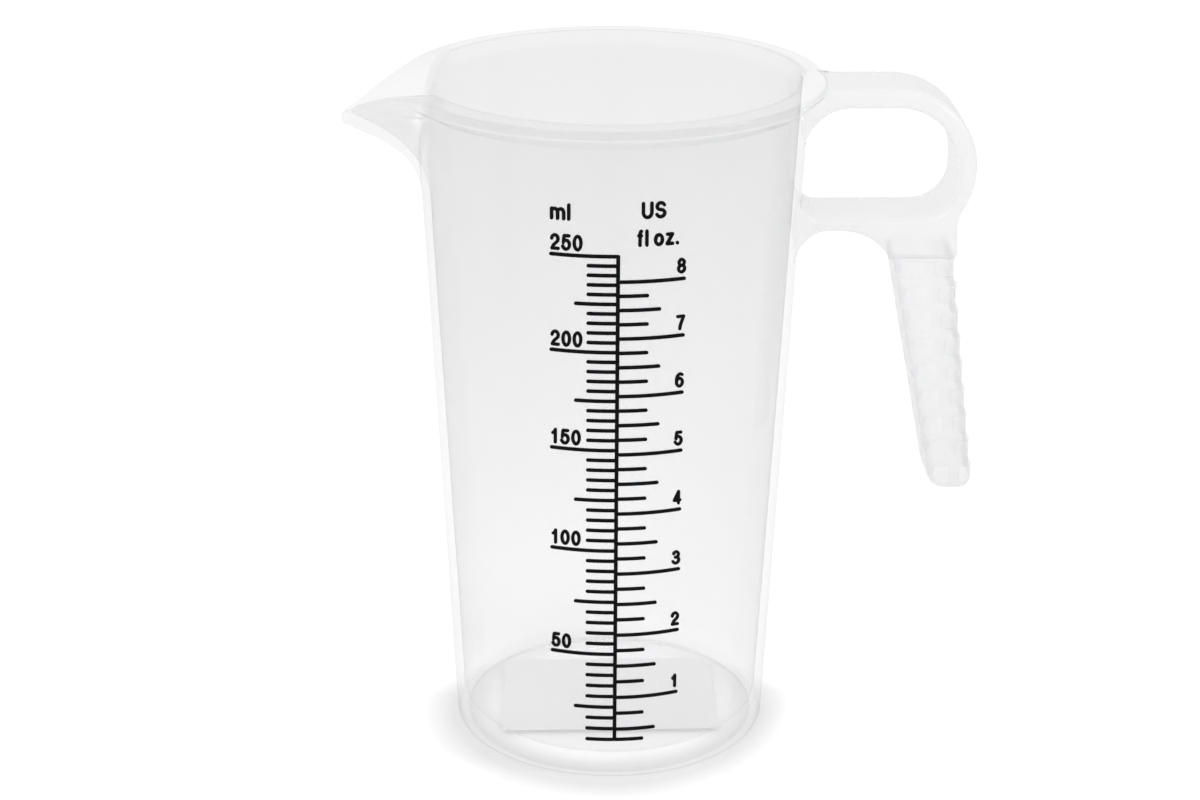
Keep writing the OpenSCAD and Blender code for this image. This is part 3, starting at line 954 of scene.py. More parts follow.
    def build(self) -> bpy.types.Mesh:
        """Turns the section round the axis.

        Returns:
            Closed mesh of the cup without its handle.
        """
        stations = []
        for x, y in self.lip_plan():
            share = max(0.0, (math.hypot(x, y) - self.rim_r) / self.spout_reach)
            stations.append((math.atan2(y, x), share))
        open_turn = 2 * (math.pi - self.mouth_half)
        for i in range(1, self.round_steps):
            stations.append((-self.mouth_half - open_turn * i / self.round_steps, 0.0))
        shell = Shell()
        rows = []
        for angle, share in stations:
            turn = angle + math.pi
            rows.append(shell.row([(r * math.cos(turn), r * math.sin(turn), z)
                                   for r, z in self.section(share)]))
        for i, row in enumerate(rows):
            shell.bridge(row, rows[(i + 1) % len(rows)], closed=False)
        shell.fan([row[0] for row in rows], (0, 0, self.recess))
        shell.fan([row[-1] for row in rows], (0, 0, self.floor_top))
        return shell.mesh("cup_body", sharp=50)

    def fill_height(self, millilitres: float) -> float:
        """Height of the liquid for a volume: a cone less its rounded corner.

        Args:
            millilitres: The volume.

        Returns:
            Height above the table, in millimetres.
        """
        lean = math.tan(self.draft)
        foot = self.inner(self.floor_top)
        fillet_area, fillet_middle = 1 - math.pi / 4, 0.2234
        loss = 2 * math.pi * (foot - fillet_middle * self.corner) * fillet_area * self.corner**2
        top = (foot**3 + 3 * lean * (millilitres * MM3_PER_ML + loss) / math.pi) ** (1 / 3)
        return self.floor_top + (top - foot) / lean


# The handle


@dataclass
class Handle:
    """Open loop with a solid block below it, from which the ribbed grip hangs."""

    cup: Cup
    width: float = 15.0
    drop: float = 1.2
    strap: float = 3.3
    reach: float = 25.7
    bow_r: float = 14.0
    bow: float = 3.2
    loop_h: float = 19.3
    loop_low_r: float = 6.5
    strap_root_r: float = 7.0
    bar_root_r: float = 3.5
    bar: float = 2.3
    arch_root_r: float = 5.0
    arch_r: float = 10.1
    flare: float = 4.6
    flare_out: float = 1.8
    block_h: float = 7.1
    block_in: float = 2.8
    waist_r: float = 6.0
    grip_len: float = 43.3
    grip_top: float = 10.3
    grip_end: float = 7.3
    grip_lean: float = math.radians(7.3)
    grip_step: float = 0.6
    grip_in_r: float = 3.0
    grip_out_r: float = 2.0
    root_flare: float = 1.8
    root_reach: float = 3.0
    foot_share: float = 0.35
    foot_reach: float = 3.0
    foot_run: Point2 = (3.0, 2.0)
    point_step: float = 2.0
    hug_reach: float = 6.0
    in_wall: float = 0.25
    in_block: float = 0.4
    edge_in: float = 1.05
    edge_across: float = 1.8
    grip_edge_in: float = 1.4
    block_out_r: float = 0.8
    block_arch_r: float = 0.5
    # How deep a surface lies in the next piece where it is made clear
    joined_skin: float = 0.3
    joined_deep: float = 0.03
    # Points inside the outline at which the flat sides bend near the wall
    bend_columns: int = 11
    bend_start: float = 1.2
    bend_turn: float = 5.0
    bend_root: float = -1.5
    bend_gap: float = 1.1
    bend_high: float = 1.15

    def __post_init__(self) -> None:
        """Works out the places that the sizes give."""
        self.top = self.cup.height - self.drop
        self.loop_top = self.top - self.strap
        self.bar_top = self.loop_top - self.loop_h
        self.out_x = self.cup.rim_r + self.reach
        self.bow_at = (self.out_x - self.bow_r, self.top - self.bow_r)
        self.loop_x = self.out_x - self.bow
        self.block_x = self.out_x - self.block_in
        self.block_foot = self.bar_top - self.block_h
        self.arch_top = self.bar_top - self.bar
        self.grip_out_x = self.block_x - self.grip_step
        self.grip_in_x = self.grip_out_x - self.grip_top
        self.block_in_x = self.grip_in_x - self.grip_step
        self.grip_foot = self.block_foot - self.grip_len
        self.grip_half = self.width / 2 - self.grip_step

    def outline(self) -> list[Point2]:
        """Side outline of the strap, bow, crossbar and block.

        Returns:
            Points of (x, height), closed inside the wall.
        """
        wall, rim_x = self.cup.outer, self.cup.rim_r - self.in_wall
        bow_x, bow_z = self.bow_at
        waist_x = self.block_x + self.waist_r
        waist_z = bow_z - math.sqrt((self.bow_r + self.waist_r) ** 2 - (waist_x - bow_x) ** 2)
        waist = math.degrees(math.atan2(waist_z - bow_z, waist_x - bow_x))
        rim_z = self.cup.rim_foot + self.cup.rim_slope
        way = [(rim_x, rim_z), (rim_x, self.top)]
        way += arc(self.bow_at, (self.bow_r, self.bow_r), 90, waist, steps=36)
        way += arc((waist_x, waist_z), (self.waist_r, self.waist_r), waist + 180, 180, steps=8)[1:]
        run_x, run_z = self.foot_run
        foot = [(self.block_x, self.block_foot + run_z), (self.block_x, self.block_foot),
                (self.block_x - run_x, self.block_foot)]
        way += rounded(*foot, self.block_out_r, steps=5)
        fall = self.arch_top - self.block_foot
        arch_x = self.block_in_x - math.sqrt(self.arch_r**2 - (self.arch_r - fall) ** 2)
        start = 90 - math.degrees(math.acos((self.arch_r - fall) / self.arch_r))
        arch = arc((arch_x, self.arch_top - self.arch_r), (self.arch_r, self.arch_r), start, 90, steps=16)
        inner_foot = (self.block_in_x + run_x, self.block_foot)
        way += rounded(inner_foot, arch[0], arch[2], self.block_arch_r, steps=4)
        way += arch[1:]
        root_z = self.arch_top - self.arch_root_r
        root_x = wall(root_z) + self.arch_root_r
        way += arc((root_x, root_z), (self.arch_root_r, self.arch_root_r), 90, 180, steps=10)
        way += [(wall(root_z) - self.in_wall, root_z)]
        bar_z = self.bar_top + self.bar_root_r
        bar_x = wall(bar_z) + self.bar_root_r
        way += [(wall(bar_z) - self.in_wall, bar_z)]
        way += arc((bar_x, bar_z), (self.bar_root_r, self.bar_root_r), 180, 270, steps=8)
        low = (self.loop_x - self.loop_low_r, self.bar_top + self.loop_low_r)
        way += arc(low, (self.loop_low_r, self.loop_low_r), -90, 0, steps=10)
        way += arc(self.bow_at, (self.loop_x - bow_x, self.loop_top - bow_z), 0, 90, steps=24)
        strap_z = self.loop_top - self.strap_root_r
        strap_x = wall(strap_z) + self.strap_root_r
        way += arc((strap_x, strap_z), (self.strap_root_r, self.strap_root_r), 90, 180, steps=12)
        way += [(wall(strap_z) - self.in_wall, strap_z),
                (wall(self.cup.rim_foot) - self.in_wall, self.cup.rim_foot)]
        return spread(way, self.point_step)

    def half_width(self, point: Point2) -> float:
        """Half of the width, more where the strap meets the wall.

        Args:
            point: A point of the outline.

        Returns:
            Distance from the middle plane to the side.
        """
        x, z = point
        flare_x = self.cup.rim_r + self.flare_out
        run = flare_x - self.cup.outer(self.loop_top)
        near = clamp((flare_x - x) / run)
        fade = clamp((z - self.loop_top + self.strap_root_r) / self.strap_root_r)
        strap = self.flare * (1 - math.sqrt(1 - near**2)) * fade**2
        close = clamp(1 - (x - self.cup.outer(z)) / self.root_reach)
        return self.width / 2 + max(strap, self.root_flare * (1 - math.sqrt(1 - close**2)))

    def edge_share(self, point: Point2) -> float:
        """Share of the edge rounding: none at the wall, less at the block's small foot corners."""
        foot = max(self.foot_share, (point[1] - self.block_foot) / self.foot_reach)
        return min(foot, clamp((point[0] - self.cup.face(point[1])) / self.root_reach))

    def hug(self, point: Point3) -> Point3:
        """Moves a point near the wall back by as much as the round wall falls back there.

        Args:
            point: Its place on the straight plate.

        Returns:
            Its place on the cup.
        """
        x, y, z = point
        wall = self.cup.face(z)
        near = clamp(1 - (x - wall) / self.hug_reach)
        return (x - near * (wall - math.sqrt(wall**2 - y**2)), y, z)

    def rim_share(self, z: Number) -> Number:
        """How far up the slope under the rim a height is: 0 at its foot and 1 above it."""
        return ((z - self.cup.rim_foot) / self.cup.rim_slope).clamped()

    def wall_joined(self, x: Number, y: Number, z: Number) -> Number:
        """Tells where the cup's outer face lies inside the handle's roots.

        Args:
            x: Place along X, in millimetres.
            y: Place along Y.
            z: Height.

        Returns:
            1 inside them, else 0.
        """
        cup, up = self.cup, self.rim_share(z)
        out = (x * x + y * y).call("SQRT") - z * math.tan(cup.draft)
        fade = ((z - self.loop_top) / self.strap_root_r + 1).clamped()
        at_wall = (fade * fade * self.flare).call("MAXIMUM", self.root_flare) + self.width / 2
        half = (1 - up) * at_wall + up * self.half_width((cup.rim_r, self.top))
        strap = z.above(self.loop_top - self.strap_root_r) * z.below(self.top)
        bar = z.above(self.arch_top - self.arch_root_r) * z.below(self.bar_top + self.bar_root_r)
        near = (half - y.call("ABSOLUTE")).above(0.0) * x.above(0.0)
        return near * out.above(cup.foot_r - self.joined_skin) * (strap + bar)

    def loop_joined(self, x: Number, y: Number, z: Number) -> Number:
        """Tells where the loop lies inside the wall or its block inside the grip.

        Args:
            x: Place along X, in millimetres.
            y: Place along Y.
            z: Height.

        Returns:
            1 inside them, else 0.
        """
        cup, up = self.cup, self.rim_share(z)
        wall = z * math.tan(cup.draft) + cup.foot_r
        face = (1 - up) * wall + up * cup.rim_r
        deep = (face - (x * x + y * y).call("SQRT")).above(self.joined_deep)
        foot = z.below(self.block_foot + self.in_block) * y.call("ABSOLUTE").below(self.grip_half)
        across = x.above(self.grip_in_x) * x.below(self.grip_out_x)
        return deep.call("MAXIMUM", foot * across)

    def grip_joined(self, x: Number, y: Number, z: Number) -> Number:
        """1 where the grip's top lies inside the block."""
        return z.above(self.block_foot + self.joined_skin)

    def build_loop(self) -> bpy.types.Mesh:
        """Builds the strap, bow, crossbar and block as one plate.

        Returns:
            The closed mesh.
        """
        flare_x = self.cup.rim_r + self.flare_out
        wall_x = self.cup.outer(self.loop_top) - self.in_wall + self.bend_start
        inner = []
        for k in range(1, self.bend_columns + 1):
            x = wall_x + (flare_x - wall_x) * k / self.bend_columns
            low = self.loop_top + (self.bend_gap if x > wall_x + self.bend_turn else self.bend_root)
            inner += [(x, low), (x, (low + self.top - self.bend_gap) / 2), (x, self.top - self.bend_high)]
        return plate("handle_loop", self.outline(), self.half_width, self.edge_in, self.edge_across,
                     inner, self.hug, self.edge_share)

    def grip_out(self, z: float) -> float:
        """Outer side of the grip at a height."""
        return self.grip_out_x + (self.block_foot - z) * math.tan(self.grip_lean)

    def grip_depth(self, z: float) -> float:
        """Depth of the grip at a height, from its inner to its outer side."""
        return self.grip_top + (self.grip_end - self.grip_top) * (self.block_foot - z) / self.grip_len

    def build_grip(self) -> bpy.types.Mesh:
        """Builds the hanging grip without its ribs and pads.

        Returns:
            The closed mesh.
        """
        top, foot = self.block_foot + self.in_block, self.grip_foot
        corners = [
            ((self.grip_out(top) - self.grip_depth(top), top), 0.0),
            ((self.grip_out(foot) - self.grip_depth(foot), foot), self.grip_in_r),
            ((self.grip_out(foot), foot), self.grip_out_r),
            ((self.grip_out(top), top), 0.0)]
        outline = spread(soften(corners, steps=10), self.point_step)
        return plate("grip", outline, lambda p: self.grip_half, self.grip_edge_in, self.edge_across)


@dataclass
class GripRibs:
    """Raised pads that are hooked round the grip: ribs outside and flat pads inside."""

    handle: Handle
    count: int = 9
    pitch: float = 4.82
    start: float = 0.25
    rib_height: float = 3.0
    pad_height: float = 3.4
    rib_out: float = 0.42
    pad_out: float = 0.16
    strip: float = 1.9
    share: float = 0.43
    edge: float = 0.6
    corner: float = 0.9
    sunk: float = 0.04
    flat_steps: int = 6
    turn_steps: int = 8
    back_steps: int = 3
    edge_steps: int = 4
    point_step: float = 0.7
    inner_rows: Point2 = (0.35, 0.65)
    inner_margin: float = 0.3

    def path(self, wrap: float, side: int) -> list[tuple[Point2, Point2]]:
        """Way round half of the grip's section, as places and outward directions.

        Args:
            wrap: How far the way reaches along each flat side of the grip.
            side: 1 for the outer side of the grip, -1 for the inner side.

        Returns:
            Places measured from the middle of that side, and directions, along the way.
        """
        half, rx, ry = self.handle.grip_half, self.handle.grip_edge_in, self.handle.edge_across
        way: list[tuple[Point2, Point2]] = []
        for i in range(self.flat_steps + 1):
            way.append(((-wrap + (wrap - rx) * i / self.flat_steps, -half), (0.0, -1.0)))
        for p in arc((0, 0), (1, 1), -90, 0, self.turn_steps)[1:]:
            direction = Vector((p[0] / rx, p[1] / ry)).normalized()
            way.append(((-rx + rx * p[0], -half + ry + ry * p[1]), tuple(direction)))
        way += [((0.0, (-half + ry) * (1 - i / self.back_steps)), (1.0, 0.0))
                for i in range(1, self.back_steps + 1)]
        way += [((p[0], -p[1]), (n[0], -n[1])) for p, n in reversed(way[:-1])]
        return [((side * p[0], p[1]), (side * n[0], n[1])) for p, n in way]

    def template(self, name: str, height: float, wrap: float, side: int) -> bpy.types.Mesh:
        """One rib or pad at its own origin, which is the middle of the grip's side.

        Args:
            name: Name of the mesh.
            height: Height of the rib.
            wrap: How far it reaches along each flat side.
            side: 1 for a rib outside, -1 for a pad inside.

        Returns:
            The closed mesh.
        """
        way = self.path(wrap, side)
        proud = self.rib_out if side > 0 else self.pad_out
        lengths = [0.0]
        for (p, _), (q, _) in zip(way, way[1:]):
            lengths.append(lengths[-1] + math.dist(p, q))
        total = lengths[-1]

        def place(flat: Point2, out: float) -> Point3:
            """Takes a point of the unrolled rib to its place round the grip.

            Args:
                flat: Its way along the rib and its height.
                out: How far it stands out.

            Returns:
                Its place, measured from the middle of that side.
            """
            s = min(max(flat[0], 0.0), total)
            k = min(max(i for i, v in enumerate(lengths) if v <= s), len(way) - 2)
            share = (s - lengths[k]) / (lengths[k + 1] - lengths[k])
            p, n = mix(way[k][0], way[k + 1][0], share), mix(way[k][1], way[k + 1][1], share)
            return (p[0] + n[0] * out, p[1] + n[1] * out, flat[1])

        box = [((0.0, 0.0), self.corner), ((total, 0.0), self.corner),
               ((total, height), self.corner), ((0.0, height), self.corner)]
        outline = spread(soften(box, steps=5), self.point_step)
        shell = Shell()
        rows = [shell.row([place(p, -self.sunk) for p in outline])]
        for k in range(self.edge_steps + 1):
            turn = math.pi / 2 * k / self.edge_steps
            moved = inset(outline, self.edge * (1 - math.cos(turn)))
            rows.append(shell.row([place(p, proud * math.sin(turn)) for p in moved]))
        for one, two in zip(rows, rows[1:]):
            shell.bridge(one, two)
        inner = [(s, height * t) for s in lengths[1:-1] for t in self.inner_rows
                 if self.edge + self.inner_margin < s < total - self.edge - self.inner_margin]
        shell.cover(rows[-1], moved, lambda p: place(p, proud), inner)
        shell.cover(rows[0], outline, lambda p: place(p, -self.sunk), inner)
        return shell.mesh(name)

    def row_tree(self) -> GeometryTree:
        """Tree that copies the carrier's mesh down the grip.

        Returns:
            The tree. Each copy is less deep than the one above.
        """
        tree = GeometryTree("grip_row", [
            ("Count", "NodeSocketInt"), ("Start", "NodeSocketVector"), ("Step", "NodeSocketVector"),
            ("Shrink", "NodeSocketFloat"), ("Material", "NodeSocketMaterial")])
        g, given = tree.graph, tree.given.outputs
        line = g.add("GeometryNodeMeshLine", {"mode": "OFFSET"}, {
            "Count": given["Count"], "Start Location": given["Start"], "Offset": given["Step"]})
        size = 1 - g.number(g.add("GeometryNodeInputIndex")) * g.number(tree.given, "Shrink")
        scale = g.add("ShaderNodeCombineXYZ", inputs={0: size, 1: 1.0, 2: 1.0})
        copies = g.add("GeometryNodeInstanceOnPoints", inputs={
            "Points": line.outputs[0], "Instance": given["Geometry"], "Scale": scale.outputs[0]})
        tree.end(copies.outputs[0])
        return tree

    def build(self, tree: GeometryTree, name: str, side: int, material: bpy.types.Material
              ) -> bpy.types.Object:
        """Row of ribs or pads as one object.

        Args:
            tree: The tree that makes the row.
            name: Name of the piece.
            side: 1 for the outer side, -1 for the inner side.
            material: Finish of the row.

        Returns:
            The finished object.
        """
        h = self.handle
        height = self.rib_height if side > 0 else self.pad_height
        top = h.block_foot - self.start - height
        part = self.share if side > 0 else 1 - self.share
        wrap = part * (h.grip_depth(top + height / 2) - self.strip)
        last = part * (h.grip_depth(top + height / 2 - self.pitch * (self.count - 1)) - self.strip)
        x = h.grip_out(top) if side > 0 else h.grip_out(top) - h.grip_depth(top)
        lean = math.tan(h.grip_lean)
        if side < 0:
            lean += (h.grip_top - h.grip_end) / h.grip_len
        carrier = show(self.template(name, height, wrap, side))
        return tree.bake(carrier, {
            "Count": self.count, "Start": (x * MM, 0.0, top * MM),
            "Step": (lean * self.pitch * MM, 0.0, -self.pitch * MM),
            "Shrink": (1 - last / wrap) / (self.count - 1), "Material": material})


# The scale


WIDE = 0.58
SPACE = 0.12
GLYPHS: dict[str, tuple[float, list[list[Point2]]]] = {
    "0": (WIDE, [arc((0.5, 0.5), (0.5, 0.5), 0, 360, 32)]),
    "1": (0.5, [[(0.1, 0.73), (0.3, 0.79), (0.5, 0.9), (0.6, 1.0), (0.6, 0.0)]]),
    "2": (WIDE, [[*arc((0.5, 0.71), (0.48, 0.29), 175, -35, 18), (0.3, 0.26), (0.05, 0.0), (1.0, 0.0)]]),
    "3": (WIDE, [[*arc((0.48, 0.76), (0.44, 0.24), 160, -90, 16), (0.36, 0.52)],
                 arc((0.47, 0.27), (0.53, 0.27), 90, -160, 18)]),
    "4": (WIDE, [[(0.73, 0.0), (0.73, 1.0), (0.0, 0.26), (1.0, 0.26)]]),
    "5": (WIDE, [[(0.92, 1.0), (0.2, 1.0), (0.08, 0.48), *arc((0.47, 0.33), (0.53, 0.33), 130, -160, 18)]]),
    "6": (WIDE, [arc((0.5, 0.32), (0.5, 0.32), 0, 360, 28),
                 [*arc((0.62, 0.46), (0.62, 0.54), 60, 180, 14), (0.0, 0.32)]]),
    "7": (WIDE, [[(0.0, 1.0), (1.0, 1.0), (0.66, 0.56), (0.46, 0.26), (0.38, 0.0)]]),
    "8": (WIDE, [arc((0.5, 0.76), (0.43, 0.24), 0, 360, 24), arc((0.5, 0.27), (0.5, 0.27), 0, 360, 28)]),
    "m": (0.88, [[(0.0, 0.0), (0.0, 0.69)],
                 *([*arc((x, 0.43), (0.25, 0.26), 150, 0, 8), (x + 0.25, 0.0)] for x in (0.25, 0.75))]),
    "l": (0.21, [[(0.5, 0.0), (0.5, 1.0)]]),
    "U": (0.66, [[(0.0, 1.0), *arc((0.5, 0.36), (0.5, 0.36), 180, 360, 18), (1.0, 1.0)]]),
    "S": (0.64, [[*arc((0.5, 0.75), (0.46, 0.25), 20, 230, 14),
                  *arc((0.5, 0.26), (0.5, 0.26), 55, -160, 14)]]),
    "f": (0.36, [[(0.42, 0.0), *arc((0.9, 0.76), (0.48, 0.24), 180, 95, 7)], [(0.0, 0.68), (0.86, 0.68)]]),
    "o": (WIDE, [arc((0.5, 0.34), (0.5, 0.35), 0, 360, 26)]),
    "z": (0.5, [[(0.04, 0.68), (0.96, 0.68), (0.0, 0.0), (1.0, 0.0)]]),
    ".": (0.21, [[(0.5, 0.0), (0.5, 0.015)]]),
}


@dataclass
class Pen:
    """Draws figures and letters as lines of even weight with round ends, on a flat sheet."""

    weight: float = 0.195
    gap: float = 0.08

    def lines(self, sign: str) -> tuple[float, list[list[Point2]]]:
        """Width of a character as a share of a figure's height, and its lines in a unit square."""
        return GLYPHS.get(sign, (SPACE, []))

    def width(self, words: str, height: float) -> float:
        """Length of a line of lettering."""
        return sum(self.lines(sign)[0] + self.gap for sign in words) * height - self.gap * height

    def stroke(self, line: Sequence[Point2], pen: float) -> list[list[Point2]]:
        """Outlines that together cover a line.

        Args:
            line: Points of the line.
            pen: Width of the pen.

        Returns:
            For each stretch a strip with round ends.
        """
        shapes = []
        half = pen / 2
        for a, b in zip(line, line[1:]):
            way = Vector(b) - Vector(a)
            if way.length < SAME_PLACE:
                continue
            angle = math.degrees(math.atan2(way.y, way.x))
            shapes.append(arc(a, (half, half), angle + 90, angle + 270, steps=8)
                          + arc(b, (half, half), angle - 90, angle + 90, steps=8))
        return shapes

    def write(self, words: str, start: float, foot: float, height: float) -> list[list[Point2]]:
        """Outlines of a line of lettering on the unrolled wall.

        Args:
            words: What it says.
            start: Distance from the upright line of the scale to its left end.
            foot: Height of its foot above the table.
            height: Height of its figures.

        Returns:
            Overlapping outlines.
        """
        pen = self.weight * height
        shapes: list[list[Point2]] = []
        for sign in words:
            share, lines = self.lines(sign)
            wide = share * height - pen
            for line in lines:
                placed = [(start + pen / 2 + p[0] * wide, foot + pen / 2 + p[1] * (height - pen))
                          for p in line]
                shapes += self.stroke(placed, pen)
            start += (share + self.gap) * height
        return shapes


def raised(name: str, groups: Sequence[Sequence[Sequence[Point2]]], out: float, sunk: float,
           edge: float) -> bpy.types.Mesh:
    """Flat raised shapes on the unrolled wall, with softened edges.

    Args:
        name: Name of the mesh.
        groups: Outlines. Those of one group overlap and become one shape.
        out: How far the shapes stand out, towards -Y.
        sunk: How far they reach into the wall.
        edge: Width of the softened edge.

    Returns:
        The closed mesh, with X along the wall and Z up.
    """
    shell = Shell()
    for outlines in groups:
        points = [Vector(p) for outline in outlines for p in outline]
        faces, first = [], 0
        for outline in outlines:
            faces.append(list(range(first, first + len(outline))))
            first += len(outline)
        made = delaunay_2d_cdt(points, [], faces, FILL_INSIDE, 1e-6)
        inside = [face for face, sources in zip(made[2], made[5]) if sources]
        front = shell.row([(p[0], -out, p[1]) for p in made[0]])
        back = shell.row([(p[0], sunk, p[1]) for p in made[0]])
        count: dict[tuple[int, int], int] = {}
        for face in inside:
            shell.faces.append(tuple(front[k] for k in face))
            shell.faces.append(tuple(back[k] for k in reversed(face)))
            for a, b in zip(face, [*face[1:], face[0]]):
                count[min(a, b), max(a, b)] = count.get((min(a, b), max(a, b)), 0) + 1
        for (a, b), uses in count.items():
            if uses == 1:
                shell.faces.append((front[a], front[b], back[b], back[a]))
    mesh = shell.mesh(name)
    work = bmesh.new()
    work.from_mesh(mesh)
    edges = [e for e in work.edges if len(e.link_faces) == 2 and e.calc_face_angle(0) > BEVEL_FROM
             and all(v.co.y < 0 for v in e.verts)]
    bmesh.ops.bevel(work, geom=edges, offset=edge * MM, segments=2, profile=0.5, affect="EDGES",
                    clamp_overlap=True)
    work.to_mesh(mesh)
    work.free()
    return mesh


@dataclass
class Scale:
    """Double scale of volume on the wall: millilitres on the left, fluid ounces on the right."""

    cup: Cup
    pen: Pen = field(default_factory=Pen)
    ml_min: int = 10
    ml_max: int = 250
    ml_step: int = 5
    ml_medium: int = 25
    ml_long: int = 50
    oz_max: int = 8
    oz_parts: int = 4
    mark: float = 0.6
    out: float = 0.2
    sunk: float = 0.05
    edge: float = 0.07
    spine: float = 0.66
    short: float = 5.1
    medium: float = 7.15
    long: float = 11.3
    ml_figure: float = 2.85
    oz_figure: float = 2.7
    unit: float = 2.95
    ml_gap: float = 0.42
    oz_gap: float = 0.6
    ml_unit_gap: float = 2.3
    oz_unit_gap: float = 2.4
    us_gap: float = 1.75
    sign_in: float = 0.15
    mark_root: float = 0.1
    point_step: float = 0.6
    us_start: float = 3.7
    oz_start: float = 3.0

    def wrap_tree(self) -> GeometryTree:
        """Tree that bends what is drawn on the flat sheet round the wall.

        Returns:
            The tree.
        """
        tree = GeometryTree("round_the_wall", [
            ("Foot Radius", "NodeSocketFloat"), ("Lean", "NodeSocketFloat"),
            ("Material", "NodeSocketMaterial")])
        tree.end(self.bend(tree, tree.given.outputs["Geometry"]))
        return tree

    def bend(self, tree: GeometryTree, geometry: bpy.types.NodeSocket) -> bpy.types.NodeSocket:
        """Moves flat points onto the cone.

        Args:
            tree: The tree that the nodes are added to.
            geometry: What is drawn flat: X is the way round the cone, Z the height and -Y outwards.

        Returns:
            The bent geometry.
        """
        g = tree.graph
        place = g.add("ShaderNodeSeparateXYZ", inputs={0: g.add("GeometryNodeInputPosition").outputs[0]})
        along, depth, up = (g.number(place, k) for k in range(3))
        radius = g.number(tree.given, "Foot Radius") + up * g.number(tree.given, "Lean")
        turn = along / radius
        reach = radius - depth
        spot = g.add("ShaderNodeCombineXYZ", inputs={
            0: reach * turn.call("SINE"), 1: reach * turn.call("COSINE") * -1.0, 2: up})
        moved = g.add("GeometryNodeSetPosition", inputs={"Geometry": geometry, "Position": spot.outputs[0]})
        return moved.outputs[0]

    def marks_tree(self) -> GeometryTree:
        """Tree that puts marks of three lengths on the carrier's points.

        A point's kind says which of the three marks it takes.

        Returns:
            The tree. It bends the marks round the wall.
        """
        kinds = ["Short", "Medium", "Long"]
        tree = GeometryTree("marks_on_the_wall", [
            *((kind, "NodeSocketObject") for kind in kinds), ("Foot Radius", "NodeSocketFloat"),
            ("Lean", "NodeSocketFloat"), ("Material", "NodeSocketMaterial")])
        g, given = tree.graph, tree.given.outputs
        kind = g.add("GeometryNodeInputNamedAttribute", {"data_type": "INT"}, {"Name": "kind"})
        joined = g.add("GeometryNodeJoinGeometry")
        for number, label in enumerate(kinds):
            mark = g.add("GeometryNodeObjectInfo", inputs={"Object": given[label]})
            same = g.add("FunctionNodeCompare", {"data_type": "INT", "operation": "EQUAL"}, {
                "A": kind.outputs[0], "B": number})
            copies = g.add("GeometryNodeInstanceOnPoints", inputs={
                "Points": given["Geometry"], "Selection": same.outputs[0],
                "Instance": mark.outputs["Geometry"]})
            g.tree.links.new(copies.outputs[0], joined.inputs[0])
        flat = g.add("GeometryNodeRealizeInstances", inputs={0: joined.outputs[0]})
        tree.end(self.bend(tree, flat.outputs[0]))
        return tree

    def bar(self, start: float, end: float, low: float, high: float) -> list[Point2]:
        """Outline of a line with round ends.

        Args:
            start: Its left end.
            end: Its right end.
            low: Its foot.
            high: Its top.

        Returns:
            Points close enough together to be bent.
        """
        half = min(high - low, end - start) / 2
        box = [((start, low), half), ((end, low), half), ((end, high), half), ((start, high), half)]
        return spread(soften(box, steps=5), self.point_step)

    def kind(self, count: int, large: int, middle: int) -> int:
        """2 for a long mark, 1 for a medium and 0 for a short one."""
        return 2 if count % large == 0 else 1 if count % middle == 0 else 0

    def placed(self, side: int) -> list[tuple[float, int]]:
        """Where the marks on one side of the upright line are.

        Args:
            side: -1 for millilitres, 1 for fluid ounces.

        Returns:
            Height and kind of each mark.
        """
        if side < 0:
            steps = range(self.ml_min, self.ml_max + 1, self.ml_step)
            return [(self.cup.fill_height(ml), self.kind(ml, self.ml_long, self.ml_medium))
                    for ml in steps]
        half = self.oz_parts // 2
        parts = range(half, self.oz_parts * self.oz_max + 1)
        foot = [(self.cup.fill_height(self.ml_min), 0)]
        return foot + [(self.cup.fill_height(n / self.oz_parts * ML_PER_OZ),
                        self.kind(n, self.oz_parts, half)) for n in parts]

    def build_marks(self, tree: GeometryTree, name: str, side: int, material: bpy.types.Material
                    ) -> bpy.types.Object:
        """All marks on one side of the upright line.

        Args:
            tree: The tree that places the marks.
            name: Name of the piece.
            side: -1 for millilitres, 1 for fluid ounces.
            material: Their finish.

        Returns:
            The finished object.
        """
        values: dict[str, object] = {"Material": material, **self.wall_values()}
        for label, length in (("Short", self.short), ("Medium", self.medium), ("Long", self.long)):
            ends = sorted((side * self.spine * self.mark_root, side * length))
            outline = self.bar(*ends, -self.mark / 2, self.mark / 2)
            template = show(raised(f"{name}_{label}", [[outline]], self.out, self.sunk, self.edge))
            template.hide_render = True
            values[label] = template
        placed = self.placed(side)
        points = bpy.data.meshes.new(name)
        points.from_pydata([(0, 0, z * MM) for z, _ in placed], [], [])
        points.attributes.new("kind", "INT", "POINT").data.foreach_set("value", [k for _, k in placed])
        made = tree.bake(show(points), values)
        for label in ("Short", "Medium", "Long"):
            bpy.data.objects.remove(values[label])
        return made

    def wall_values(self) -> dict[str, float]:
        """The wall's size, as the trees take it."""
        return {"Foot Radius": self.cup.foot_r * MM, "Lean": math.tan(self.cup.draft)}

    def build_lines(self, tree: GeometryTree, name: str, groups: Sequence[Sequence[Sequence[Point2]]],
                    material: bpy.types.Material) -> bpy.types.Object:
        """Lettering or a line from flat outlines, bent round the wall."""
        carrier = show(raised(name, groups, self.out, self.sunk, self.edge))
        return tree.bake(carrier, {"Material": material, **self.wall_values()})

    def spine_shape(self) -> list[Point2]:
        """Outline of the upright line.

        Returns:
            Its points on the unrolled wall.
        """
        low = self.cup.fill_height(self.ml_min) - self.mark / 2
        high = self.cup.fill_height(self.ml_max) + self.mark / 2
        return self.bar(-self.spine / 2, self.spine / 2, low, high)

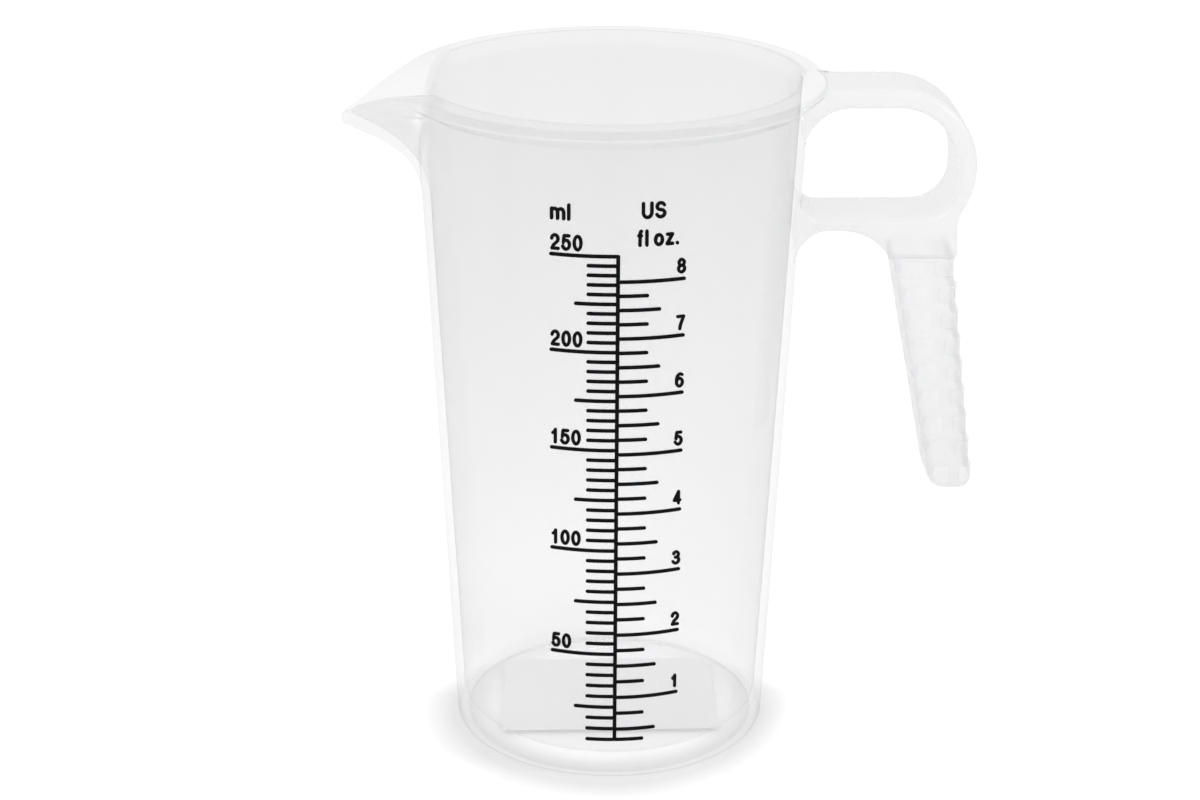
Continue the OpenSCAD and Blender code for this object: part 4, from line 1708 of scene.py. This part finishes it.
    def ml_figures(self) -> list[list[list[Point2]]]:
        """Figures of the millilitre marks.

        Returns:
            The outlines, a group for each character.
        """
        groups = []
        for ml in range(self.ml_long, self.ml_max + 1, self.ml_long):
            foot = self.cup.fill_height(ml) + self.mark / 2 + self.ml_gap
            groups += self.signs(str(ml), -self.long + self.sign_in, foot, self.ml_figure)
        return groups

    def oz_figures(self) -> list[list[list[Point2]]]:
        """Figures of the fluid ounce marks.

        Returns:
            The outlines, a group for each character.
        """
        groups = []
        for oz in range(1, self.oz_max + 1):
            foot = self.cup.fill_height(oz * ML_PER_OZ) + self.mark / 2 + self.oz_gap
            start = self.long - self.pen.width(str(oz), self.oz_figure)
            groups += self.signs(str(oz), start, foot, self.oz_figure)
        return groups

    def signs(self, words: str, start: float, foot: float, height: float) -> list[list[list[Point2]]]:
        """Outlines of a line of lettering.

        Args:
            words: What it says.
            start: Distance from the upright line to its left end.
            foot: Height of its foot above the table.
            height: Height of its figures.

        Returns:
            The outlines, a group for each character.
        """
        groups = []
        for i, sign in enumerate(words):
            before = self.pen.width(words[:i], height) + self.pen.gap * height if i else 0.0
            shapes = self.pen.write(sign, start + before, foot, height)
            if shapes:
                groups.append(shapes)
        return groups

    def ml_unit(self) -> list[list[list[Point2]]]:
        """Outlines of the lettering ml."""
        foot = self.cup.fill_height(self.ml_max) + self.mark / 2 + self.ml_gap + self.ml_figure
        return self.signs("ml", -self.long + self.sign_in, foot + self.ml_unit_gap, self.unit)

    def oz_unit(self) -> list[list[list[Point2]]]:
        """Outlines of the lettering US fl oz.

        Returns:
            The outlines, a group for each character.
        """
        top = self.cup.fill_height(self.oz_max * ML_PER_OZ) + self.mark / 2
        foot = top + self.oz_gap + self.oz_figure + self.oz_unit_gap
        over = foot + self.unit + self.us_gap
        return self.signs("fl oz.", self.oz_start, foot, self.unit) + self.signs(
            "US", self.us_start, over, self.unit)


@dataclass
class Label:
    """Plain sticker under the floor."""

    cup: Cup
    length: float = 39.4
    depth: float = 28.0
    back: float = 2.0
    thickness: float = 0.15
    corner: float = 1.0
    gap: float = 0.01
    grid: float = 2.0
    point_step: float = 1.5
    ripple: float = 0.05
    wave_x: Point2 = (0.21, 0.4)
    wave_y: Point2 = (0.27, -0.7)

    def build(self) -> bpy.types.Mesh:
        """Builds the sticker, rippled a little where it isn't pressed flat.

        Returns:
            The closed mesh.
        """
        x, y = self.length / 2, self.depth / 2
        low, high = self.back - y, self.back + y
        box = [((-x, low), self.corner), ((x, low), self.corner), ((x, high), self.corner),
               ((-x, high), self.corner)]
        outline = spread(soften(box, steps=5), self.point_step)
        columns, rows = (int(size / self.grid) - 1 for size in (self.length, self.depth))
        inner = [(-x + self.grid * i, low + self.grid * j)
                 for i in range(1, columns + 1) for j in range(1, rows + 1)]

        def under(p: Point2) -> float:
            """Height of the sticker's face against the floor.

            Args:
                p: A point of the sticker's outline or inside it.

            Returns:
                Its height above the table.
            """
            wave = (math.sin(self.wave_x[0] * p[0] + self.wave_x[1])
                    * math.sin(self.wave_y[0] * p[1] + self.wave_y[1]))
            return self.cup.recess - self.gap - self.ripple * (1 + wave) / 2

        def below(p: Point2) -> Point3:
            """Place of a point of the sticker's free face."""
            return (*p, under(p) - self.thickness + self.gap)

        shell = Shell()
        top = shell.row([(*p, under(p)) for p in outline])
        foot = shell.row([below(p) for p in outline])
        shell.bridge(top, foot)
        shell.cover(top, outline, lambda p: (*p, under(p)), inner)
        shell.cover(foot, outline, below, inner)
        return shell.mesh("sticker")


# The studio


@dataclass
class Studio:
    """Camera, lamps, floor and background."""

    camera_place: Point3 = (-14.40, -434.06, 229.52)
    camera_turn: Point3 = (68.726, -0.192, -1.573)
    focal_px: float = 2620.65
    picture_px: float = 1200.0
    sensor: float = 36.0
    sky: float = 0.9
    sky_width: float = 55.0
    floor_size: float = 3.0
    floor_tone: float = 0.9
    # Painted shadow: grey close round the foot, where the cup keeps light off the floor
    contact_tone: float = 0.68
    contact_at: Point3 = (-0.65, -2.5, 0.0)
    contact_r: float = 28.0
    contact_reach: float = 7.0
    # Painted light: a brighter disc under the cup, which glows for what the camera sees
    under_r: float = 25.5
    under_edge: float = 5.0
    under_share: float = 0.8
    under_lift: float = 0.15
    floor_lift: float = 0.09
    # Where the painted shadow fades to white behind the cup
    behind_from: float = 4.0
    behind_reach: float = 16.0

    def camera(self) -> None:
        """Camera at the photograph's place and angle."""
        data = bpy.data.cameras.new("camera")
        data.sensor_width = self.sensor
        data.lens = self.focal_px / self.picture_px * self.sensor
        data.clip_start = 0.01
        data.clip_end = 20.0
        made = bpy.data.objects.new("camera", data)
        made.location = Vector(self.camera_place) * MM
        made.rotation_euler = [math.radians(a) for a in self.camera_turn]
        bpy.context.scene.collection.objects.link(made)
        bpy.context.scene.camera = made

    def world(self) -> None:
        """White for what the camera sees, also in and through the plastic, and plain light."""
        world = bpy.data.worlds.new("studio")
        bpy.context.scene.world = world
        world.use_nodes = True
        world.node_tree.nodes.clear()
        g = Graph(world.node_tree)
        plain = g.add("ShaderNodeBackground", inputs={"Color": (1, 1, 1, 1), "Strength": self.sky})
        white = g.add("ShaderNodeBackground", inputs={"Color": (1, 1, 1, 1), "Strength": 1.0})
        g.add("ShaderNodeOutputWorld", inputs={"Surface": g.blend(g.seen(), plain, white).outputs[0]})

    def floor(self) -> None:
        """White floor, grey close round the foot as a painted shadow and a little brighter under the cup as
        painted light.
        """
        shell = Shell()
        half = self.floor_size / 2 / MM
        row = shell.row([(-half, -half, 0), (half, -half, 0), (half, half, 0), (-half, half, 0)])
        shell.faces.append(tuple(row))
        floor = show(shell.mesh("floor"))
        material, g = blank("floor")
        place = g.place()
        middle = [v * MM for v in self.contact_at]
        away = g.number(g.add("ShaderNodeVectorMath", {"operation": "DISTANCE"}, {0: place, 1: middle}),
                        "Value")
        home = g.number(g.add("ShaderNodeVectorMath", {"operation": "LENGTH"}, {0: place}), "Value")
        # Painted shadow round the foot, which fades out under the cup and behind it
        under = ((self.under_r - home / MM) / self.under_edge).clamped()
        reach = ((away / MM - self.contact_r) / self.contact_reach).call("MAXIMUM", under * self.under_share)
        y = g.number(g.add("ShaderNodeSeparateXYZ", inputs={0: place}), 1) / MM
        reach = reach + ((y - self.behind_from) / self.behind_reach).call("MAXIMUM", 0.0)
        grey, white = ((*(tone,) * 3, 1.0) for tone in (self.contact_tone, self.floor_tone))
        tone = g.add("ShaderNodeValToRGB", {"stops": [(0.0, grey), (1.0, white)]}, {0: reach})
        matt = g.add("ShaderNodeBsdfDiffuse", inputs={"Color": tone.outputs[0]})
        # Glow for what the camera sees: even over the floor, with painted light under the cup
        lift = g.add("ShaderNodeEmission", inputs={
            "Color": (1, 1, 1, 1), "Strength": g.seen() * (under * self.under_lift + self.floor_lift)})
        both = g.add("ShaderNodeAddShader", inputs={0: matt.outputs[0], 1: lift.outputs[0]})
        g.add("ShaderNodeOutputMaterial", inputs={"Surface": both.outputs[0]})
        floor.data.materials.append(material)

    def sun(self, name: str, place: Point3, strength: float) -> None:
        """Even light from one side, as from a wide overcast sky.

        Args:
            name: Name of the light.
            place: The side that it comes from.
            strength: Its strength.
        """
        data = bpy.data.lights.new(name, "SUN")
        data.angle = math.radians(self.sky_width)
        data.energy = strength
        made = bpy.data.objects.new(name, data)
        made.rotation_euler = Vector(place).to_track_quat("Z", "Y").to_euler()
        bpy.context.scene.collection.objects.link(made)

    def lamp(self, name: str, place: Point3, aim: Point3, size: float, power: float) -> None:
        """Square soft lamp that faces a point. Places are in millimetres.

        Args:
            name: Name of the lamp.
            place: Where it hangs.
            aim: The point that it faces.
            size: Length of its side.
            power: Its power, in watts.
        """
        data = bpy.data.lights.new(name, "AREA")
        data.shape = "SQUARE"
        data.size = size * MM
        data.energy = power
        made = bpy.data.objects.new(name, data)
        made.location = Vector(place) * MM
        way = Vector(aim) - Vector(place)
        made.rotation_euler = way.to_track_quat("-Z", "Y").to_euler()
        bpy.context.scene.collection.objects.link(made)

    def build(self) -> None:
        """Sets up everything round the cup."""
        self.camera()
        self.world()
        self.floor()
        self.sun("left_sky", (-500, -600, 1000), strength=0.25)
        self.sun("right_sky", (600, -400, 900), strength=0.2)
        self.lamp("left_window", (-350, -500, 600), (0, 0, 60), size=220, power=0.9)
        self.lamp("right_window", (500, -200, 400), (0, 0, 60), size=150, power=0.5)
        bpy.context.scene.view_settings.view_transform = "Standard"


def finish_piece(piece: bpy.types.Object, slot: Slot, nodes: Sequence[str],
                 material: bpy.types.Material | None = None) -> None:
    """Dresses a piece, ties it to the cup's body and says which solids it stands for.

    Args:
        piece: The piece.
        slot: Its material slot in the record; not used.
        nodes: Names of the solids.
        material: Its finish, or nothing where it has one.
    """
    if material:
        piece.data.materials.clear()
        piece.data.materials.append(material)
    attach(piece, "root")
    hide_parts(*nodes)
    log.info("%s: %d faces for %s", piece.name, len(piece.data.polygons), ", ".join(nodes))


def main() -> None:
    """Builds the cup and its studio."""
    Studio().build()
    cup = Cup()
    handle = Handle(cup)
    # A copy of the plastic for the loop and grip, with its own milk colours by height as painted light and
    # shade
    thick = {"low_colour": (0.33, 0.33, 0.335), "high_colour": (0.73, 0.73, 0.74), "low_haze": 0.45,
             "high_haze": 0.5, "through": 0.45}
    thin = Polypropylene("polypropylene_wall").material(handle.wall_joined, cup.inner_shade)
    loop = Polypropylene("polypropylene_loop", **thick).material(handle.loop_joined)
    grip = Polypropylene("polypropylene_grip", **thick).material(handle.grip_joined)
    # An even copy of the plastic for the ribs and pads, its light milk colour painted light over the grip's
    # shade
    even = {"low_colour": (0.95, 0.95, 0.955), "high_colour": (0.95, 0.95, 0.955), "low_haze": 0.14,
            "high_haze": 0.14, "gloss_ior": 1.6}
    raised_rib = Polypropylene("polypropylene_rib", **even).material()
    foil, paper = Foil().material(), Paper().material()

    finish_piece(show(cup.build()), Slot.PLASTIC, ["cup_wall", "cup_floor", "rim_flange", "pour_spout"], thin)
    finish_piece(show(handle.build_loop()), Slot.PLASTIC,
                 ["handle_strap", "handle_bow", "handle_crossbar", "grip_block"], loop)
    finish_piece(show(handle.build_grip()), Slot.PLASTIC, ["grip_leg"], grip)
    ribs = GripRibs(handle)
    row = ribs.row_tree()
    finish_piece(ribs.build(row, "grip_ribs", 1, raised_rib), Slot.PLASTIC, ["outer_grip_ribs"])
    finish_piece(ribs.build(row, "grip_pads", -1, raised_rib), Slot.PLASTIC, ["inner_grip_pads"])

    scale = Scale(cup)
    marks, wrap = scale.marks_tree(), scale.wrap_tree()
    finish_piece(scale.build_marks(marks, "millilitre_marks", -1, foil), Slot.INK, ["ml_marks"])
    finish_piece(scale.build_marks(marks, "ounce_marks", 1, foil), Slot.INK, ["fl_oz_marks"])
    for name, node, groups in (
            ("scale_line", "scale_spine", [[scale.spine_shape()]]),
            ("millilitre_figures", "ml_numerals", scale.ml_figures()),
            ("ounce_figures", "fl_oz_numerals", scale.oz_figures()),
            ("millilitre_unit", "ml_unit", scale.ml_unit()),
            ("ounce_unit", "fl_oz_unit", scale.oz_unit())):
        finish_piece(scale.build_lines(wrap, name, groups, foil), Slot.INK, [node])

    finish_piece(show(Label(cup).build()), Slot.LABEL, ["base_label"], paper)


if __name__ == "__main__":
    main()
